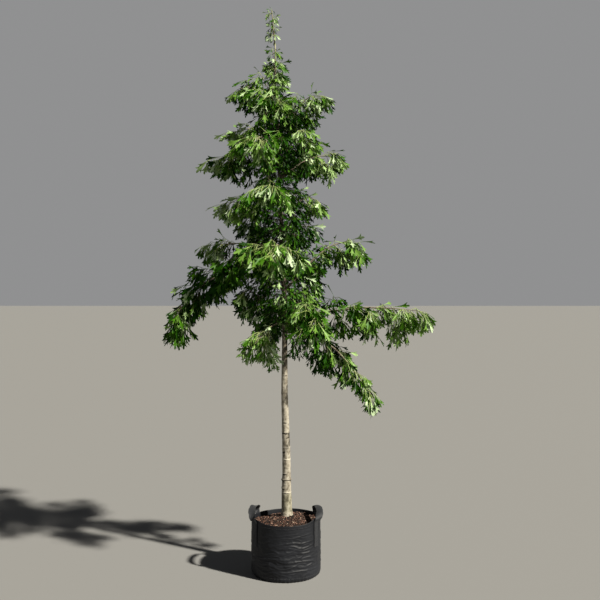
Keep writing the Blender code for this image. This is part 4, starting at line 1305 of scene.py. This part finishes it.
def grow_twigs(foliage, habit, twigs):
    """Each twig of the seeded rule, carried on to finer shoots."""
    rng = habit.rng
    for twig in twigs:
        foliage.shoot(habit, *twig, LEAVES_AT_END, TWIG_RADIUS)
        count = max(1, round(SHOOTS_ON_TWIG * twig.length / FULL_TWIG))
        roll = rng.uniform(0.0, tau)
        for i in range(count):
            share = SHOOTS_FROM + SHOOTS_OVER * i / count
            base = twig.base + twig.heading * twig.length * share
            roll += GOLDEN_ANGLE
            heading = aside(twig.heading, roll, *TWIG_SIDE, SHOOT_FLATNESS)
            length = rng.uniform(*SHOOT_LENGTHS) * habit.size
            foliage.shoot(habit, base, heading, length, rng.choice(LEAVES_ON_SHOOT))


def grow_limb(limb, foliage):
    """A limb's twigs, short shoots on its stem between them and on its bare bough, and its tip."""
    rng = random.Random(limb.name)
    course = Course(limb)
    habit = Habit(rng, limb.leaf, max(LEAST_REACH, hypot(*limb.tip[:2])), limb.fresh)
    grow_twigs(foliage, habit, plan_twigs(limb, course, rng))
    gap = BARE_STRETCH.get(limb.name, NO_GAP)
    count = limb.twigs * STEM_SHOOTS
    roll = rng.uniform(0.0, tau)
    for i in range(count):
        leafy = (i + 0.3) / count
        if gap[0] - 0.02 < leafy < gap[1]:
            continue
        share = limb.bare + (STEM_END - limb.bare) * leafy
        roll += GOLDEN_ANGLE
        heading = aside(course.heading(share), roll, *STEM_SIDE)
        length = rng.uniform(*SHOOT_LENGTHS) * limb.leaf
        foliage.shoot(habit, course.at(share), heading, length, LEAVES_ON_SHOOT[0])
    short, long = (length * limb.leaf for length in SHOOT_LENGTHS)
    small = habit._replace(size=limb.leaf * BARE_LEAF)
    for i in range(BARE_SHOOTS if limb.bare else 0):
        share = limb.bare * (i + 0.7) / BARE_SHOOTS
        roll += GOLDEN_ANGLE
        heading = aside(course.heading(share), roll, *BARE_SIDE)
        foliage.shoot(small, course.at(share), heading, long, LEAVES_ON_SHOOT[-1])
    end = course.at(STEM_END)
    heading = (end - course.at(STEM_END - 0.02)).normalized()
    foliage.shoot(habit, end, heading, short, LEAVES_AT_TIP, TWIG_TIP_RADIUS)


def grow_trunk_shoots(foliage):
    """Small-leaved shoots all round the trunk, longest where the crown is widest."""
    rng = random.Random("trunk shoots")
    roll = 0.0
    low, high = TRUNK_SHOOT_SPAN
    for i in range(TRUNK_SHOOTS):
        share = (i + rng.random()) / TRUNK_SHOOTS
        height = low + (high - low) * share
        base, radius = trunk_at(height)
        roll += GOLDEN_ANGLE
        if height > TOP_FROM and rng.random() > TRUNK_SHOOTS_THIN:
            continue
        outward = Vector((cos(roll), sin(roll), 0.0))
        heading = (outward + UP * rng.uniform(*TRUNK_SHOOT_RISES)).normalized()
        reach = np.interp(height, *zip(*TRUNK_SHOOT_REACH))
        length = reach * rng.uniform(*TRUNK_SHOOT_LENGTHS) + radius
        size = rng.uniform(*TRUNK_LEAF_SIZES) * (1.0 - TRUNK_LEAF_SLIM * share)
        habit = Habit(rng, size, OUTER_REACH, 1.0)
        foliage.shoot(habit, base, heading, length, rng.choice(LEAVES_ON_TRUNK_SHOOT))


def make_foliage(foliage_nodes):
    foliage = Foliage()
    for limb in LIMBS:
        grow_limb(limb, foliage)
    grow_trunk_shoots(foliage)
    for name, green in LEAF_COLOURS.items():
        finish = leaf_material(name, green.colour, green.shine)
        new_piece(name, foliage.leaves[name], [finish], foliage_nodes, 75)
    for part, parts, colours, ending, roughness, grain, slot in (
        ("leaf_ribs", foliage.ribs, RIB_COLOURS, "_green", 0.5, 80.0, "leaf_green"),
        ("twigs", foliage.twigs, TWIG_COLOURS, "_bark", 0.7, 90.0, "bark"),
    ):
        for name, shape, colour in zip((part, part + "_young"), parts, colours):
            finish = plain_material(name + ending, colour, roughness, grain)
            new_piece(name, shape, [finish], foliage_nodes, 80)


def main():
    foliage_nodes = tuple(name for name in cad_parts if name.startswith("foliage_"))
    make_camera()
    make_lights()
    make_floor()
    make_bag()
    make_straps()
    make_soil()
    make_chips()
    # The dark lines below the scars: partly dark marks in the bark, partly painted shade under the
    # raised scars.
    scar = plain_material("bark_scar", DARK_MARK_AND_SHADE_COLOUR, 0.9, 120.0)
    ring = plain_material("bark_ring", RING_COLOUR, 0.8, 160.0)
    make_trunk([bark_material(), scar, ring])
    make_limbs(plain_material("limb_skin", LIMB_COLOUR, 0.8, 70.0, 0.001, 0.45), foliage_nodes)
    make_foliage(foliage_nodes)


main()
